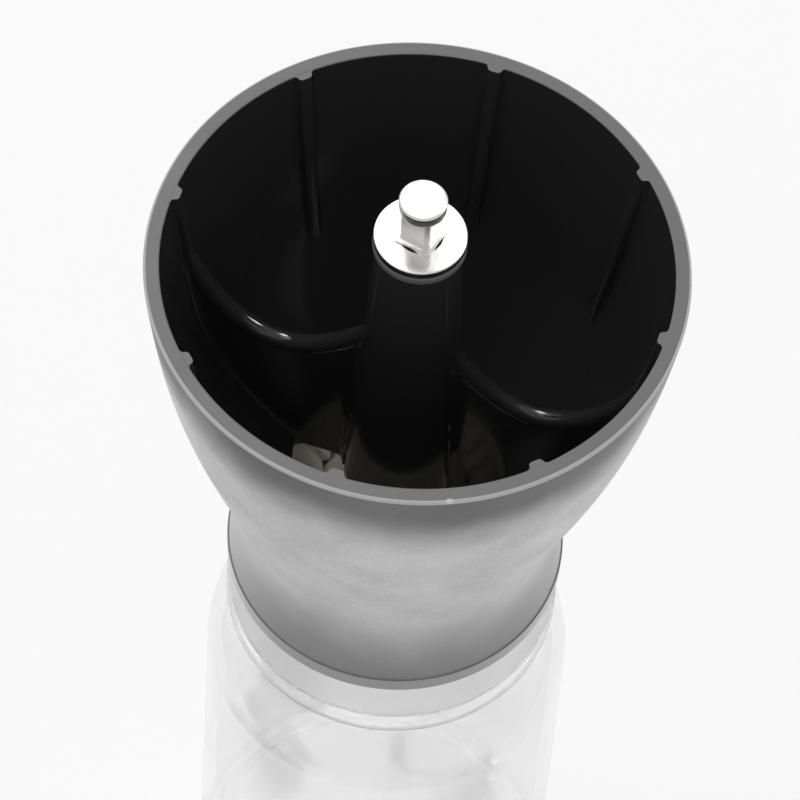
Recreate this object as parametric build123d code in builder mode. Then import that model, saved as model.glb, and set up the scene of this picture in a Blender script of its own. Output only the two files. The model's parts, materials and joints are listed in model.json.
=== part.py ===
"""Slim hand crank coffee grinder, shown with its lid and crank taken off.

The grinder stands on z = 0 with its spindle along +Z, and the bridge that carries
the bearing column runs along X.  The lid and the crank lie on the same surface.
All sizes are millimetres.
"""

from build123d import *
import os
from math import radians, sin

os.makedirs("parts", exist_ok=True)

# ---------------------------------------------------------------- clearances
running_fit = 0.05  # radial, between a turning or sliding piece and its guide
seat_gap = 0.3  # between faces of separate bodies that meet loosely
cut_over = 1.0  # how far a cutting solid runs past the face that it opens

# ---------------------------------------------------------------- burr set
burr_radius = 17.5  # outside of the fixed burr ring
burr_height = 16.0
burr_gap = 0.35  # radial grinding gap at the finest setting
cone_base_radius = 15.1  # widest part of the turning burr
cone_throat_radius = 11.0
cone_top_radius = 6.9
cone_band_height = 1.4
cone_fine_height = 9.0
cone_height = 15.6
cone_bore_radius = 5.7
burr_mouth_radius = 14.9
fine_tooth_count = 30
fine_tooth_depth = 0.8
fine_tooth_lean = 14.0  # degrees
fine_tooth_reach = 1.2  # half the width of the vee that cuts a fine tooth
coarse_tooth_count = 5
coarse_tooth_depth = 2.4
coarse_tooth_lean = 32.0  # degrees
coarse_tooth_reach = 3.1  # half the width of a coarse tooth's gullet at its mouth
coarse_tooth_skew = 0.6  # how far the gullet's root is off its middle
tooth_run_over = 1.25  # a tooth is cut this much longer than the cone that carries it
burr_lug_count = 3
burr_lug_proud = 0.8
burr_lug_width = 4.0
burr_lug_height = 5.0
cushion_height = 0.8
cushion_width = 1.9
retainer_height = 3.7
retainer_radius = 15.8  # bore of the ring that holds the fixed burr
retainer_notch_count = 4
retainer_notch_width = 3.0
retainer_notch_depth = 1.6

# ---------------------------------------------------------------- hopper
housing_wall = 1.6  # tube round the burrs
neck_play = 0.3  # between that tube and the jar's neck
neck_wall = 1.65
neck_headroom = 1.8  # above the jar's neck when it is screwed home
thread_play = 0.25
collar_wall = 1.55
collar_flare = 1.2
body_height = 73.2  # collar foot to rim
rim_radius = 36.0
shoulder_inset, shoulder_drop = 2.1, 16.0
flank_outset, flank_drop = 7.35, 32.0
taper_outset, taper_drop = 2.55, 48.0
waist_drop = 62.0
wall = 2.2
rim_round = 0.5
rim_drop = 49.5  # rim to the funnel's floor
throat_radius = 15.2
throat_lip = 2.0
lip_band_height = 2.8
lip_band_proud = 0.25
rib_count = 8
rib_depth = 1.6
rib_width = 2.2
bridge_thickness = 2.2
bridge_bead_radius = 1.35
crest_column_drop = 18.5  # rim to the bridge's crest, at the column
crest_low_radius, crest_low_drop = 18.0, 28.0
crest_wall_drop = 10.0
column_radius = 5.7  # at its top
column_flare = 2.3  # how much wider it is at its foot
column_proud = 4.9  # column top above the rim
column_bore_radius = 3.7

# ---------------------------------------------------------------- jar
jar_shoulder_height = 100.5
jar_neck_height = 9.0
jar_ring_inset = 0.1  # ring is this much smaller than the collar
jar_ring_height = 12.3
jar_bead_height = 4.3  # raised foot of the ring
jar_bead_proud = 0.3
jar_bead_round = 0.25  # kept under jar_bead_proud, the width of the bead's top
jar_waist_inset = 0.7  # the body starts this far inside the bead
jar_body_radius = 26.6
jar_body_top = 73.0
jar_base_radius = 27.2
jar_wall = 2.0
jar_floor = 4.0
jar_base_round = 2.2

# ---------------------------------------------------------------- spindle
shaft_radius = 3.0
shaft_turn = -13.0  # degrees, how the flats stand at rest
shoulder_radius = 3.6  # of the four-sided shoulder that holds the thrust washer
shoulder_across_flats = 5.6
shoulder_height = 0.5
neck_radius_at_corners = 2.9
neck_across_flats = 4.5
neck_height = 5.8
head_radius = 3.2
head_height = 1.8
head_round = 0.4
edge_break = 0.25
drive_across_flats = 5.0
drive_flat_height = 17.0
thread_length = 13.5
bush_radius = 4.6
bush_height = 9.0
bush_flange_radius = 6.2
bush_flange_height = 1.2
top_washer_radius = 6.15
top_washer_thickness = 1.25
spring_radius = 4.3
spring_wire_radius = 0.45
spring_turns = 6
spring_washer_thickness = 0.6
spring_washer_rim = 0.2  # how far the washer stands out past the spring
spring_seat_depth = 8.0
carrier_flange_radius = 12.5
carrier_flange_height = 2.0
carrier_key_width = 2.6
carrier_key_inset = 1.0
carrier_cup_wall = 0.55  # round the spring
carrier_key_height = 1.6
click_washer_radius = 8.0
click_washer_thickness = 0.8
nut_radius = 10.0
nut_height = 6.6
nut_scallop_count = 8
nut_scallop_radius = 2.6
nut_scallop_outset = 1.3
nut_chamfer = 0.6
insert_radius = 4.4
insert_flange_radius = 5.4
insert_flange_height = 0.9
clip_radius = 4.2
clip_thickness = 0.7
clip_groove_depth = 0.6
clip_end_margin = 1.6
clip_mouth = 4.2

# ---------------------------------------------------------------- lid
lid_wall = 1.8
lid_flange = 1.6
lid_skirt_height = 6.0
lid_rise = 6.2
lid_crown = 0.72  # share of the rise that is reached half way in
lid_hole_play = 0.5
lid_place = (-60.0, -62.0)

# ---------------------------------------------------------------- crank
crank_reach = 101.0  # spindle to knob pin
arm_thickness = 3.0
arm_hub_radius = 9.0
arm_tip_radius = 6.5
arm_chamfer = 0.4
hub_radius = 8.4
keyhole_play = 0.2
keyhole_slide = 5.6  # from the entry hole to the working place
knob_height = 33.5
knob_foot_radius = 9.0
knob_waist_radius, knob_waist_height = 10.4, 11.7
knob_crown_radius, knob_crown_height = 13.0, 24.1
knob_foot_round = 0.4
knob_washer_thickness = 0.8
knob_washer_inset = 2.0
knob_pin_radius = 3.0
knob_pin_head_radius = 4.6
knob_pin_head_height = 1.6
knob_cap_height = 1.6
knob_cap_radius = 7.5
knob_cap_lip = 3.0
knob_cap_inset = 0.4
knob_cap_round = 1.3
knob_well_radius = 5.2
knob_well_depth = 9.0
crank_place = (54.0, -14.0)

# ================================================================ derived places
housing_bore_radius = burr_radius + running_fit
housing_radius = housing_bore_radius + housing_wall
neck_bore_radius = housing_radius + neck_play
neck_radius = neck_bore_radius + neck_wall
thread_bore_radius = neck_radius + thread_play
waist_radius = thread_bore_radius + collar_wall
collar_radius = waist_radius + collar_flare
jar_ring_radius = collar_radius - jar_ring_inset

collar_z = jar_shoulder_height + seat_gap
rim_z = collar_z + body_height
throat_z = rim_z - rim_drop
ceiling_z = throat_z - throat_lip
burr_top_z = ceiling_z - cushion_height
burr_foot_z = burr_top_z - burr_height
retainer_foot_z = burr_foot_z - retainer_height
housing_foot_z = retainer_foot_z - seat_gap
neck_top_z = jar_shoulder_height + jar_neck_height
socket_top_z = neck_top_z + neck_headroom
rim_bore_radius = rim_radius - wall
rib_tip_radius = rim_bore_radius - rib_depth

column_top_z = rim_z + column_proud
washer_foot_z = column_top_z + bush_flange_height + running_fit
washer_top_z = washer_foot_z + top_washer_thickness
neck_foot_z = washer_top_z + shoulder_height
head_foot_z = neck_foot_z + neck_height
column_foot_z = ceiling_z
shaft_bore_radius = shaft_radius + running_fit
thread_radius = drive_across_flats / 2 - running_fit

cone_foot_z = burr_foot_z - seat_gap
carrier_foot_z = cone_foot_z - carrier_flange_height
click_foot_z = carrier_foot_z - click_washer_thickness
nut_top_z = click_foot_z - running_fit
nut_foot_z = nut_top_z - nut_height
drive_foot_z = carrier_foot_z + running_fit
shaft_foot_z = drive_foot_z - thread_length
cone_top_z = cone_foot_z + cone_height
spring_seat_z = cone_top_z - cone_band_height - spring_seat_depth
spring_top_z = column_foot_z - seat_gap - spring_washer_thickness


def flatted_section(round_radius, across_flats, flat_count, turn):
    """A round bar's section with flat_count flats, turned by turn degrees."""
    with BuildSketch() as section:
        Circle(round_radius)
        with PolarLocations(0, flat_count, start_angle=turn):
            with Locations((0, across_flats / 2 + round_radius)):
                Rectangle(4 * round_radius, 2 * round_radius, mode=Mode.SUBTRACT)
    return section.sketch


def column_radius_at(z):
    """The tapered column's outside radius at a height."""
    return column_radius + column_flare * (column_top_z - z) / (column_top_z - column_foot_z)


def tapered_column(low_z, high_z):
    """The stretch of the column between two heights, without its bore."""
    with BuildPart() as stretch:
        for z in (low_z, high_z):
            with BuildSketch(Plane.XY.offset(z)):
                Circle(column_radius_at(z))
        loft()
    return stretch.part


def report(name, part):
    """Label a finished part, write it as STEP and print its size."""
    part.label = name
    export_step(part, f"parts/{name}.step")
    size = part.bounding_box().size
    print(f"{name:16s} {size.X:7.2f} {size.Y:7.2f} {size.Z:7.2f}  {part.volume:10.2f} mm3")


# ================================================================ hopper body
# What the beans fill: the flared funnel less the column, bridge and ribs.
with BuildPart() as bean_space:
    with BuildSketch(Plane.XZ):
        with BuildLine():
            Polyline((0, throat_z), (0, rim_z + cut_over), (rim_bore_radius, rim_z + cut_over),
                     (rim_bore_radius, rim_z))
            Spline((rim_bore_radius, rim_z),
                   (rim_radius - shoulder_inset - wall, rim_z - shoulder_drop),
                   (waist_radius + flank_outset - wall, rim_z - flank_drop),
                   (throat_radius, throat_z),
                   tangents=[(-0.1, -1), (-1.1, -1)])
            Line((throat_radius, throat_z), (0, throat_z))
        make_face()
    revolve(axis=Axis.Z)
    with BuildSketch(Plane.XY.offset(ceiling_z)):
        Circle(throat_radius)
    extrude(amount=throat_lip)
    add(tapered_column(column_foot_z - cut_over, rim_z + 2 * cut_over), mode=Mode.SUBTRACT)

# The bridge's crest hangs from the column and rises steeply at the wall.
crest_column_z = rim_z - crest_column_drop
bridge_root_radius = column_radius_at(crest_column_z) - bridge_bead_radius
crest_points = [(bridge_root_radius, crest_column_z),
                (crest_low_radius, rim_z - crest_low_drop),
                (rim_bore_radius - cut_over, rim_z - crest_wall_drop)]
crest_tangents = [(0.7, -1), (0.15, 1)]

# Half of the bridge: a web with a bead along its sagging crest.
with BuildPart() as bridge_half:
    with BuildSketch(Plane.XZ):
        with BuildLine():
            crest_line = Spline(*crest_points, tangents=crest_tangents)
            Polyline(crest_line @ 1, (rim_bore_radius - cut_over, ceiling_z),
                     (bridge_root_radius, ceiling_z), crest_line @ 0)
        make_face()
    extrude(amount=bridge_thickness / 2, both=True)
with BuildPart() as bridge_bead:
    with BuildLine(Plane.XZ) as bead_line:
        Spline(*crest_points, tangents=crest_tangents)
    with BuildSketch(Plane(origin=bead_line.line @ 0, z_dir=bead_line.line % 0)):
        Circle(bridge_bead_radius)
    sweep(path=bead_line.line)

with BuildPart() as lead_rib:
    with BuildSketch(Plane.XZ):
        with BuildLine():
            Polyline((rib_tip_radius, rim_z + 2 * cut_over), (rib_tip_radius, rim_z),
                     (waist_radius + flank_outset - wall, rim_z - flank_drop),
                     (rim_radius, rim_z - flank_drop), (rim_radius, rim_z + 2 * cut_over),
                     close=True)
        make_face()
    extrude(amount=rib_width / 2, both=True)

with BuildPart() as bean_void:
    add(bean_space.part)
    for side in (0, 180):
        add(bridge_half.part, rotation=(0, 0, side), mode=Mode.SUBTRACT)
        add(bridge_bead.part, rotation=(0, 0, side), mode=Mode.SUBTRACT)
    with PolarLocations(0, rib_count):
        add(lead_rib.part, mode=Mode.SUBTRACT)

with BuildPart() as hopper_body:
    with BuildSketch(Plane.XZ):
        with BuildLine():
            Polyline((collar_radius, collar_z), (0, collar_z), (0, rim_z), (rim_radius, rim_z))
            Spline((rim_radius, rim_z),
                   (rim_radius - shoulder_inset, rim_z - shoulder_drop),
                   (waist_radius + flank_outset, rim_z - flank_drop),
                   (waist_radius + taper_outset, rim_z - taper_drop),
                   (waist_radius, rim_z - waist_drop),
                   (collar_radius - lip_band_proud, collar_z + lip_band_height),
                   tangents=[(-0.1, -1), (0.16, -1)])
            Polyline((collar_radius - lip_band_proud, collar_z + lip_band_height),
                     (collar_radius, collar_z + lip_band_height), (collar_radius, collar_z))
        make_face()
    revolve(axis=Axis.Z)
    rim_edge = hopper_body.edges().filter_by(GeomType.CIRCLE).group_by(Axis.Z)[-1]
    fillet(rim_edge, radius=rim_round)
    # the annular socket for the jar's neck
    with BuildSketch(Plane.XY.offset(collar_z)):
        Circle(thread_bore_radius)
        Circle(housing_radius, mode=Mode.SUBTRACT)
    extrude(amount=socket_top_z - collar_z, mode=Mode.SUBTRACT)
    # the tube round the burrs ends above the collar's foot
    with BuildSketch(Plane.XY.offset(collar_z)):
        Circle(housing_radius)
    extrude(amount=housing_foot_z - collar_z, mode=Mode.SUBTRACT)
    with BuildSketch(Plane.XY.offset(housing_foot_z)):
        Circle(housing_bore_radius)
    extrude(amount=ceiling_z - housing_foot_z, mode=Mode.SUBTRACT)
    # keyways that keep the fixed burr from turning
    with BuildSketch(Plane.XY.offset(housing_foot_z)):
        with PolarLocations(burr_radius, burr_lug_count):
            Rectangle(2 * (burr_lug_proud + running_fit), burr_lug_width + 2 * running_fit)
    extrude(amount=ceiling_z - housing_foot_z, mode=Mode.SUBTRACT)
    add(bean_void.part, mode=Mode.SUBTRACT)
    # the column above the rim, then its bore and the two bush seats
    add(tapered_column(rim_z - 2 * cut_over, column_top_z))
    with BuildSketch(Plane.XY.offset(column_foot_z)):
        Circle(column_bore_radius)
    extrude(amount=column_top_z - column_foot_z, mode=Mode.SUBTRACT)
    with BuildSketch(Plane.XY.offset(column_top_z - bush_height)):
        Circle(bush_radius + running_fit)
    extrude(amount=bush_height, mode=Mode.SUBTRACT)
    with BuildSketch(Plane.XY.offset(column_foot_z)):
        Circle(bush_radius + running_fit)
    extrude(amount=bush_height, mode=Mode.SUBTRACT)
report("hopper_body", hopper_body.part)

# ================================================================ bushes
with BuildPart() as upper_bush:
    with BuildSketch(Plane.XY.offset(column_top_z - bush_height)):
        Circle(bush_radius)
    extrude(amount=bush_height)
    with BuildSketch(Plane.XY.offset(column_top_z)):
        Circle(bush_flange_radius)
    extrude(amount=bush_flange_height)
    top_edge = upper_bush.edges().filter_by(GeomType.CIRCLE).group_by(Axis.Z)[-1]
    fillet(top_edge, radius=rim_round)
    with BuildSketch(Plane.XY.offset(column_top_z - bush_height)):
        Circle(shaft_bore_radius)
    extrude(amount=bush_height + bush_flange_height, mode=Mode.SUBTRACT)
report("upper_bush", upper_bush.part)

with BuildPart() as lower_bush:
    with BuildSketch(Plane.XY.offset(column_foot_z)):
        Circle(bush_radius)
        Circle(shaft_bore_radius, mode=Mode.SUBTRACT)
    extrude(amount=bush_height)
report("lower_bush", lower_bush.part)

# ================================================================ fixed burr
with BuildPart() as burr_cushion:
    with BuildSketch(Plane.XY.offset(burr_top_z)):
        Circle(burr_radius)
        Circle(burr_radius - cushion_width, mode=Mode.SUBTRACT)
    extrude(amount=cushion_height)
report("burr_cushion", burr_cushion.part)

ring_base_radius = cone_base_radius + burr_gap
ring_throat_radius = cone_throat_radius + burr_gap
ring_throat_z = cone_foot_z + cone_fine_height
ring_flare_z = cone_foot_z + cone_band_height

with BuildPart() as ring_tooth:
    ring_run = ring_throat_z - ring_flare_z
    ring_plane = Plane(origin=(ring_base_radius, 0, ring_flare_z), x_dir=(1, 0, 0),
                       z_dir=(ring_throat_radius - ring_base_radius,
                              ring_run * sin(radians(fine_tooth_lean)), ring_run))
    with BuildSketch(ring_plane):
        with BuildLine():
            Polyline((-fine_tooth_reach, -fine_tooth_reach), (-fine_tooth_reach, fine_tooth_reach),
                     (fine_tooth_depth, 0), close=True)
        make_face()
    extrude(amount=tooth_run_over * ring_run, both=True)

with BuildPart() as outer_burr:
    with BuildSketch(Plane.XZ):
        with BuildLine():
            Polyline((ring_base_radius, burr_foot_z), (burr_radius, burr_foot_z),
                     (burr_radius, burr_top_z), (burr_mouth_radius, burr_top_z),
                     (ring_throat_radius, ring_throat_z), (ring_base_radius, ring_flare_z), close=True)
        make_face()
    revolve(axis=Axis.Z)
    with PolarLocations(0, fine_tooth_count):
        add(ring_tooth.part, mode=Mode.SUBTRACT)
    with BuildSketch(Plane.XY.offset(burr_top_z - burr_lug_height)):
        with PolarLocations(burr_radius, burr_lug_count):
            Rectangle(2 * burr_lug_proud, burr_lug_width)
    extrude(amount=burr_lug_height)
report("outer_burr", outer_burr.part)

with BuildPart() as burr_retainer:
    with BuildSketch(Plane.XY.offset(retainer_foot_z)):
        Circle(burr_radius)
        Circle(retainer_radius, mode=Mode.SUBTRACT)
    extrude(amount=retainer_height)
    with BuildSketch(Plane.XY.offset(retainer_foot_z)):
        with PolarLocations(burr_radius, retainer_notch_count):
            Rectangle(2 * burr_radius - 2 * retainer_radius + cut_over, retainer_notch_width)
    extrude(amount=retainer_notch_depth, mode=Mode.SUBTRACT)
report("burr_retainer", burr_retainer.part)

# ================================================================ spindle
shoulder_section = flatted_section(shoulder_radius, shoulder_across_flats, 4, shaft_turn)
neck_section = flatted_section(neck_radius_at_corners, neck_across_flats, 4, shaft_turn)
drive_section = flatted_section(shaft_radius, drive_across_flats, 2, shaft_turn)

with BuildPart() as drive_shaft:
    with BuildSketch(Plane.XY.offset(shaft_foot_z)):
        Circle(thread_radius)
    extrude(amount=thread_length)
    with BuildSketch(Plane.XY.offset(drive_foot_z)):
        add(drive_section)
    extrude(amount=drive_flat_height)
    with BuildSketch(Plane.XY.offset(drive_foot_z + drive_flat_height)):
        Circle(shaft_radius)
    extrude(amount=washer_top_z - drive_foot_z - drive_flat_height)
    with BuildSketch(Plane.XY.offset(washer_top_z)):
        add(shoulder_section)
    extrude(amount=shoulder_height)
    with BuildSketch(Plane.XY.offset(neck_foot_z)):
        add(neck_section)
    extrude(amount=neck_height)
    with BuildSketch(Plane.XY.offset(head_foot_z)):
        Circle(head_radius)
    extrude(amount=head_height)
    head_edge = drive_shaft.edges().filter_by(GeomType.CIRCLE).group_by(Axis.Z)[-1]
    fillet(head_edge, radius=head_round)
    with BuildSketch(Plane.XY.offset(shaft_foot_z + clip_end_margin)):
        Circle(thread_radius)
        Circle(thread_radius - clip_groove_depth, mode=Mode.SUBTRACT)
    extrude(amount=clip_thickness + 2 * running_fit, mode=Mode.SUBTRACT)
    foot_edge = drive_shaft.edges().filter_by(GeomType.CIRCLE).group_by(Axis.Z)[0]
    chamfer(foot_edge, length=clip_groove_depth)
report("drive_shaft", drive_shaft.part)

with BuildPart() as thrust_washer:
    with BuildSketch(Plane.XY.offset(washer_foot_z)):
        Circle(top_washer_radius)
        Circle(shaft_bore_radius, mode=Mode.SUBTRACT)
    extrude(amount=top_washer_thickness)
    washer_edges = thrust_washer.edges().filter_by(GeomType.CIRCLE).group_by(SortBy.RADIUS)[-1]
    fillet(washer_edges.group_by(Axis.Z)[-1], radius=edge_break)
report("thrust_washer", thrust_washer.part)

with BuildPart() as end_clip:
    clip_z = shaft_foot_z + clip_end_margin + running_fit
    with BuildSketch(Plane.XY.offset(clip_z)):
        Circle(clip_radius)
        Circle(thread_radius - clip_groove_depth + running_fit, mode=Mode.SUBTRACT)
        with Locations((clip_radius, 0)):
            Rectangle(2 * clip_radius, clip_mouth, mode=Mode.SUBTRACT)
    extrude(amount=clip_thickness)
report("end_clip", end_clip.part)

with BuildPart() as spring_washer:
    with BuildSketch(Plane.XY.offset(spring_top_z)):
        Circle(spring_radius + spring_wire_radius + spring_washer_rim)
        Circle(shaft_bore_radius, mode=Mode.SUBTRACT)
    extrude(amount=spring_washer_thickness)
report("spring_washer", spring_washer.part)

with BuildPart() as burr_spring:
    coil_height = spring_top_z - spring_seat_z - 2 * spring_wire_radius
    with BuildLine(Plane.XY.offset(spring_seat_z + spring_wire_radius)):
        coil_line = Helix(pitch=coil_height / spring_turns, height=coil_height, radius=spring_radius)
    with BuildSketch(Plane(origin=coil_line @ 0, z_dir=coil_line % 0)):
        Circle(spring_wire_radius)
    sweep(path=coil_line, is_frenet=True)
report("burr_spring", burr_spring.part)

# ================================================================ turning burr
with BuildPart() as cone_tooth:
    cone_run = cone_fine_height - cone_band_height
    cone_plane = Plane(origin=(cone_base_radius, 0, cone_foot_z + cone_band_height), x_dir=(1, 0, 0),
                       z_dir=(cone_throat_radius - cone_base_radius,
                              -cone_run * sin(radians(fine_tooth_lean)), cone_run))
    with BuildSketch(cone_plane):
        with BuildLine():
            Polyline((fine_tooth_reach, -fine_tooth_reach), (fine_tooth_reach, fine_tooth_reach),
                     (-fine_tooth_depth, 0), close=True)
        make_face()
    extrude(amount=tooth_run_over * cone_run, both=True)

with BuildPart() as cone_lobe_cut:
    lobe_run = cone_height - cone_fine_height
    lobe_plane = Plane(origin=(cone_throat_radius, 0, cone_foot_z + cone_fine_height), x_dir=(1, 0, 0),
                       z_dir=(cone_top_radius - cone_throat_radius,
                              -lobe_run * sin(radians(coarse_tooth_lean)), lobe_run))
    with BuildSketch(lobe_plane):
        with BuildLine():
            Polyline((coarse_tooth_reach, -coarse_tooth_reach), (coarse_tooth_reach, coarse_tooth_reach),
                     (-coarse_tooth_depth, coarse_tooth_skew), close=True)
        make_face()
    extrude(amount=2 * tooth_run_over * lobe_run)

with BuildPart() as inner_burr:
    with BuildSketch(Plane.XZ):
        with BuildLine():
            Polyline((cone_bore_radius, cone_foot_z), (cone_base_radius, cone_foot_z),
                     (cone_base_radius, cone_foot_z + cone_band_height),
                     (cone_throat_radius, cone_foot_z + cone_fine_height),
                     (cone_top_radius, cone_top_z), (cone_bore_radius, cone_top_z), close=True)
        make_face()
    revolve(axis=Axis.Z)
    with PolarLocations(0, fine_tooth_count):
        add(cone_tooth.part, mode=Mode.SUBTRACT)
    with PolarLocations(0, coarse_tooth_count):
        add(cone_lobe_cut.part, mode=Mode.SUBTRACT)
    with BuildSketch(Plane.XY.offset(cone_foot_z)):
        Rectangle(2 * (cone_base_radius + cut_over), carrier_key_width + 2 * running_fit)
    extrude(amount=carrier_key_height + running_fit, mode=Mode.SUBTRACT)
report("inner_burr", inner_burr.part)

keyed_hole = flatted_section(shaft_bore_radius, drive_across_flats + 2 * running_fit, 2, shaft_turn)

with BuildPart() as burr_carrier:
    with BuildSketch(Plane.XY.offset(carrier_foot_z)):
        Circle(carrier_flange_radius)
    extrude(amount=carrier_flange_height)
    with BuildSketch(Plane.XY.offset(cone_foot_z)):
        Circle(cone_bore_radius - running_fit)
    extrude(amount=cone_height - cone_band_height)
    with BuildSketch(Plane.XY.offset(cone_foot_z)):
        Rectangle(2 * (carrier_flange_radius - carrier_key_inset), carrier_key_width)
    extrude(amount=carrier_key_height)
    with BuildSketch(Plane.XY.offset(spring_seat_z)):
        Circle(cone_bore_radius - running_fit - carrier_cup_wall)
    extrude(amount=spring_seat_depth, mode=Mode.SUBTRACT)
    with BuildSketch(Plane.XY.offset(carrier_foot_z)):
        add(keyed_hole)
    extrude(amount=spring_seat_z - carrier_foot_z, mode=Mode.SUBTRACT)
report("burr_carrier", burr_carrier.part)

with BuildPart() as click_washer:
    with BuildSketch(Plane.XY.offset(click_foot_z)):
        Circle(click_washer_radius)
        add(keyed_hole, mode=Mode.SUBTRACT)
    extrude(amount=click_washer_thickness)
report("click_washer", click_washer.part)

# ================================================================ adjusting nut
with BuildPart() as adjusting_nut:
    with BuildSketch(Plane.XY.offset(nut_foot_z)):
        Circle(nut_radius)
        with PolarLocations(nut_radius + nut_scallop_outset, nut_scallop_count):
            Circle(nut_scallop_radius, mode=Mode.SUBTRACT)
    extrude(amount=nut_height)
    rim_edges = adjusting_nut.edges().filter_by(Plane.XY).group_by(Axis.Z)
    chamfer(rim_edges[0], length=nut_chamfer)
    with BuildSketch(Plane.XY.offset(nut_foot_z)):
        Circle(insert_radius)
    extrude(amount=nut_height, mode=Mode.SUBTRACT)
    with BuildSketch(Plane.XY.offset(nut_foot_z)):
        Circle(insert_flange_radius)
    extrude(amount=insert_flange_height, mode=Mode.SUBTRACT)
report("adjusting_nut", adjusting_nut.part)

with BuildPart() as nut_insert:
    with BuildSketch(Plane.XY.offset(nut_foot_z)):
        Circle(insert_flange_radius)
    extrude(amount=insert_flange_height)
    with BuildSketch(Plane.XY.offset(nut_foot_z)):
        Circle(insert_radius)
    extrude(amount=nut_height)
    with BuildSketch(Plane.XY.offset(nut_foot_z)):
        Circle(thread_radius + running_fit)
    extrude(amount=nut_height, mode=Mode.SUBTRACT)
report("nut_insert", nut_insert.part)

# ================================================================ jar
with BuildPart() as jar:
    ring_foot_z = jar_shoulder_height - jar_ring_height
    with BuildSketch(Plane.XZ):
        with BuildLine():
            Polyline((0, 0), (jar_base_radius, 0), (jar_body_radius, jar_body_top))
            Spline((jar_body_radius, jar_body_top), (jar_ring_radius - jar_waist_inset, ring_foot_z),
                   tangents=[(jar_body_radius - jar_base_radius, jar_body_top), (0, 1)])
            Polyline((jar_ring_radius - jar_waist_inset, ring_foot_z), (jar_ring_radius, ring_foot_z),
                     (jar_ring_radius, ring_foot_z + jar_bead_height),
                     (jar_ring_radius - jar_bead_proud, ring_foot_z + jar_bead_height),
                     (jar_ring_radius - jar_bead_proud, jar_shoulder_height),
                     (neck_radius, jar_shoulder_height), (neck_radius, neck_top_z),
                     (neck_bore_radius, neck_top_z), (neck_bore_radius, jar_shoulder_height),
                     (jar_ring_radius - jar_wall, jar_shoulder_height - jar_wall),
                     (jar_ring_radius - jar_wall, ring_foot_z))
            Spline((jar_ring_radius - jar_wall, ring_foot_z), (jar_body_radius - jar_wall, jar_body_top),
                   tangents=[(0, -1), (jar_base_radius - jar_body_radius, -jar_body_top)])
            Polyline((jar_body_radius - jar_wall, jar_body_top),
                     (jar_base_radius - jar_wall, jar_floor), (0, jar_floor), (0, 0))
        make_face()
    revolve(axis=Axis.Z)
    base_edge = jar.edges().filter_by(GeomType.CIRCLE).group_by(Axis.Z)[0]
    fillet(base_edge, radius=jar_base_round)
    floor_edge = jar.edges().filter_by(GeomType.CIRCLE).filter_by_position(
        Axis.Z, jar_floor - running_fit, jar_floor + running_fit)
    fillet(floor_edge, radius=jar_base_round)
    for bead_edge_z in (ring_foot_z, ring_foot_z + jar_bead_height):
        bead_edge = jar.edges().filter_by(GeomType.CIRCLE).filter_by_position(
            Axis.Z, bead_edge_z - running_fit, bead_edge_z + running_fit).group_by(SortBy.RADIUS)[-1]
        fillet(bead_edge, radius=jar_bead_round)
report("jar", jar.part)

# ================================================================ lid
lid_hole_radius = bush_flange_radius + lid_hole_play
skirt_radius = rib_tip_radius - seat_gap / 2
flange_z = lid_skirt_height
lid_edge_z = flange_z + lid_flange
lid_crown_z = lid_edge_z + lid_crown * lid_rise
lid_top_z = lid_edge_z + lid_rise

with BuildPart() as lid:
    with BuildSketch(Plane(origin=(*lid_place, 0), x_dir=(1, 0, 0), z_dir=(0, -1, 0))):
        with BuildLine():
            Polyline((skirt_radius - lid_wall, 0), (skirt_radius, 0), (skirt_radius, flange_z),
                     (rim_radius, flange_z), (rim_radius, lid_edge_z))
            Spline((rim_radius, lid_edge_z), (rim_radius / 2, lid_crown_z),
                   (lid_hole_radius, lid_top_z), tangents=[(-1, 0.22), (-1, 0.04)])
            Line((lid_hole_radius, lid_top_z), (lid_hole_radius, lid_top_z - lid_wall))
            Spline((lid_hole_radius, lid_top_z - lid_wall), (rim_radius / 2, lid_crown_z - lid_wall),
                   (skirt_radius - lid_wall, lid_edge_z - lid_wall), tangents=[(1, -0.04), (1, -0.3)])
            Line((skirt_radius - lid_wall, lid_edge_z - lid_wall), (skirt_radius - lid_wall, 0))
        make_face()
    revolve(axis=Axis((*lid_place, 0), (0, 0, 1)))
report("lid", lid.part)

# ================================================================ crank
crank_plane = Plane((*crank_place, 0))
entry_radius = head_radius + keyhole_play
slot_width = neck_across_flats + 2 * keyhole_play
hub_height = neck_height - arm_thickness - keyhole_play


def keyhole():
    """The entry hole that passes the shaft's head, and the slot that grips its flats."""
    with BuildSketch() as cut:
        with Locations((0, -keyhole_slide)):
            Circle(entry_radius)
        with Locations((0, (slot_width / 2 - keyhole_slide) / 2)):
            Rectangle(slot_width, keyhole_slide + slot_width / 2)
    return cut.sketch


with BuildPart() as crank_arm:
    with BuildSketch(crank_plane):
        Circle(arm_hub_radius)
        with Locations((0, -crank_reach)):
            Circle(arm_tip_radius)
        make_hull()
    extrude(amount=arm_thickness)
    outline_edges = crank_arm.edges().filter_by(Plane.XY)
    chamfer(outline_edges, length=arm_chamfer)
    with BuildSketch(crank_plane):
        add(keyhole())
    extrude(amount=arm_thickness, mode=Mode.SUBTRACT)
    with BuildSketch(crank_plane):
        with Locations((0, -crank_reach)):
            Circle(knob_pin_radius + running_fit)
    extrude(amount=arm_thickness, mode=Mode.SUBTRACT)
    with BuildSketch(crank_plane):
        with Locations((0, -crank_reach)):
            Circle(knob_pin_head_radius + running_fit)
    extrude(amount=knob_pin_head_height, mode=Mode.SUBTRACT)
report("crank_arm", crank_arm.part)

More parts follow.
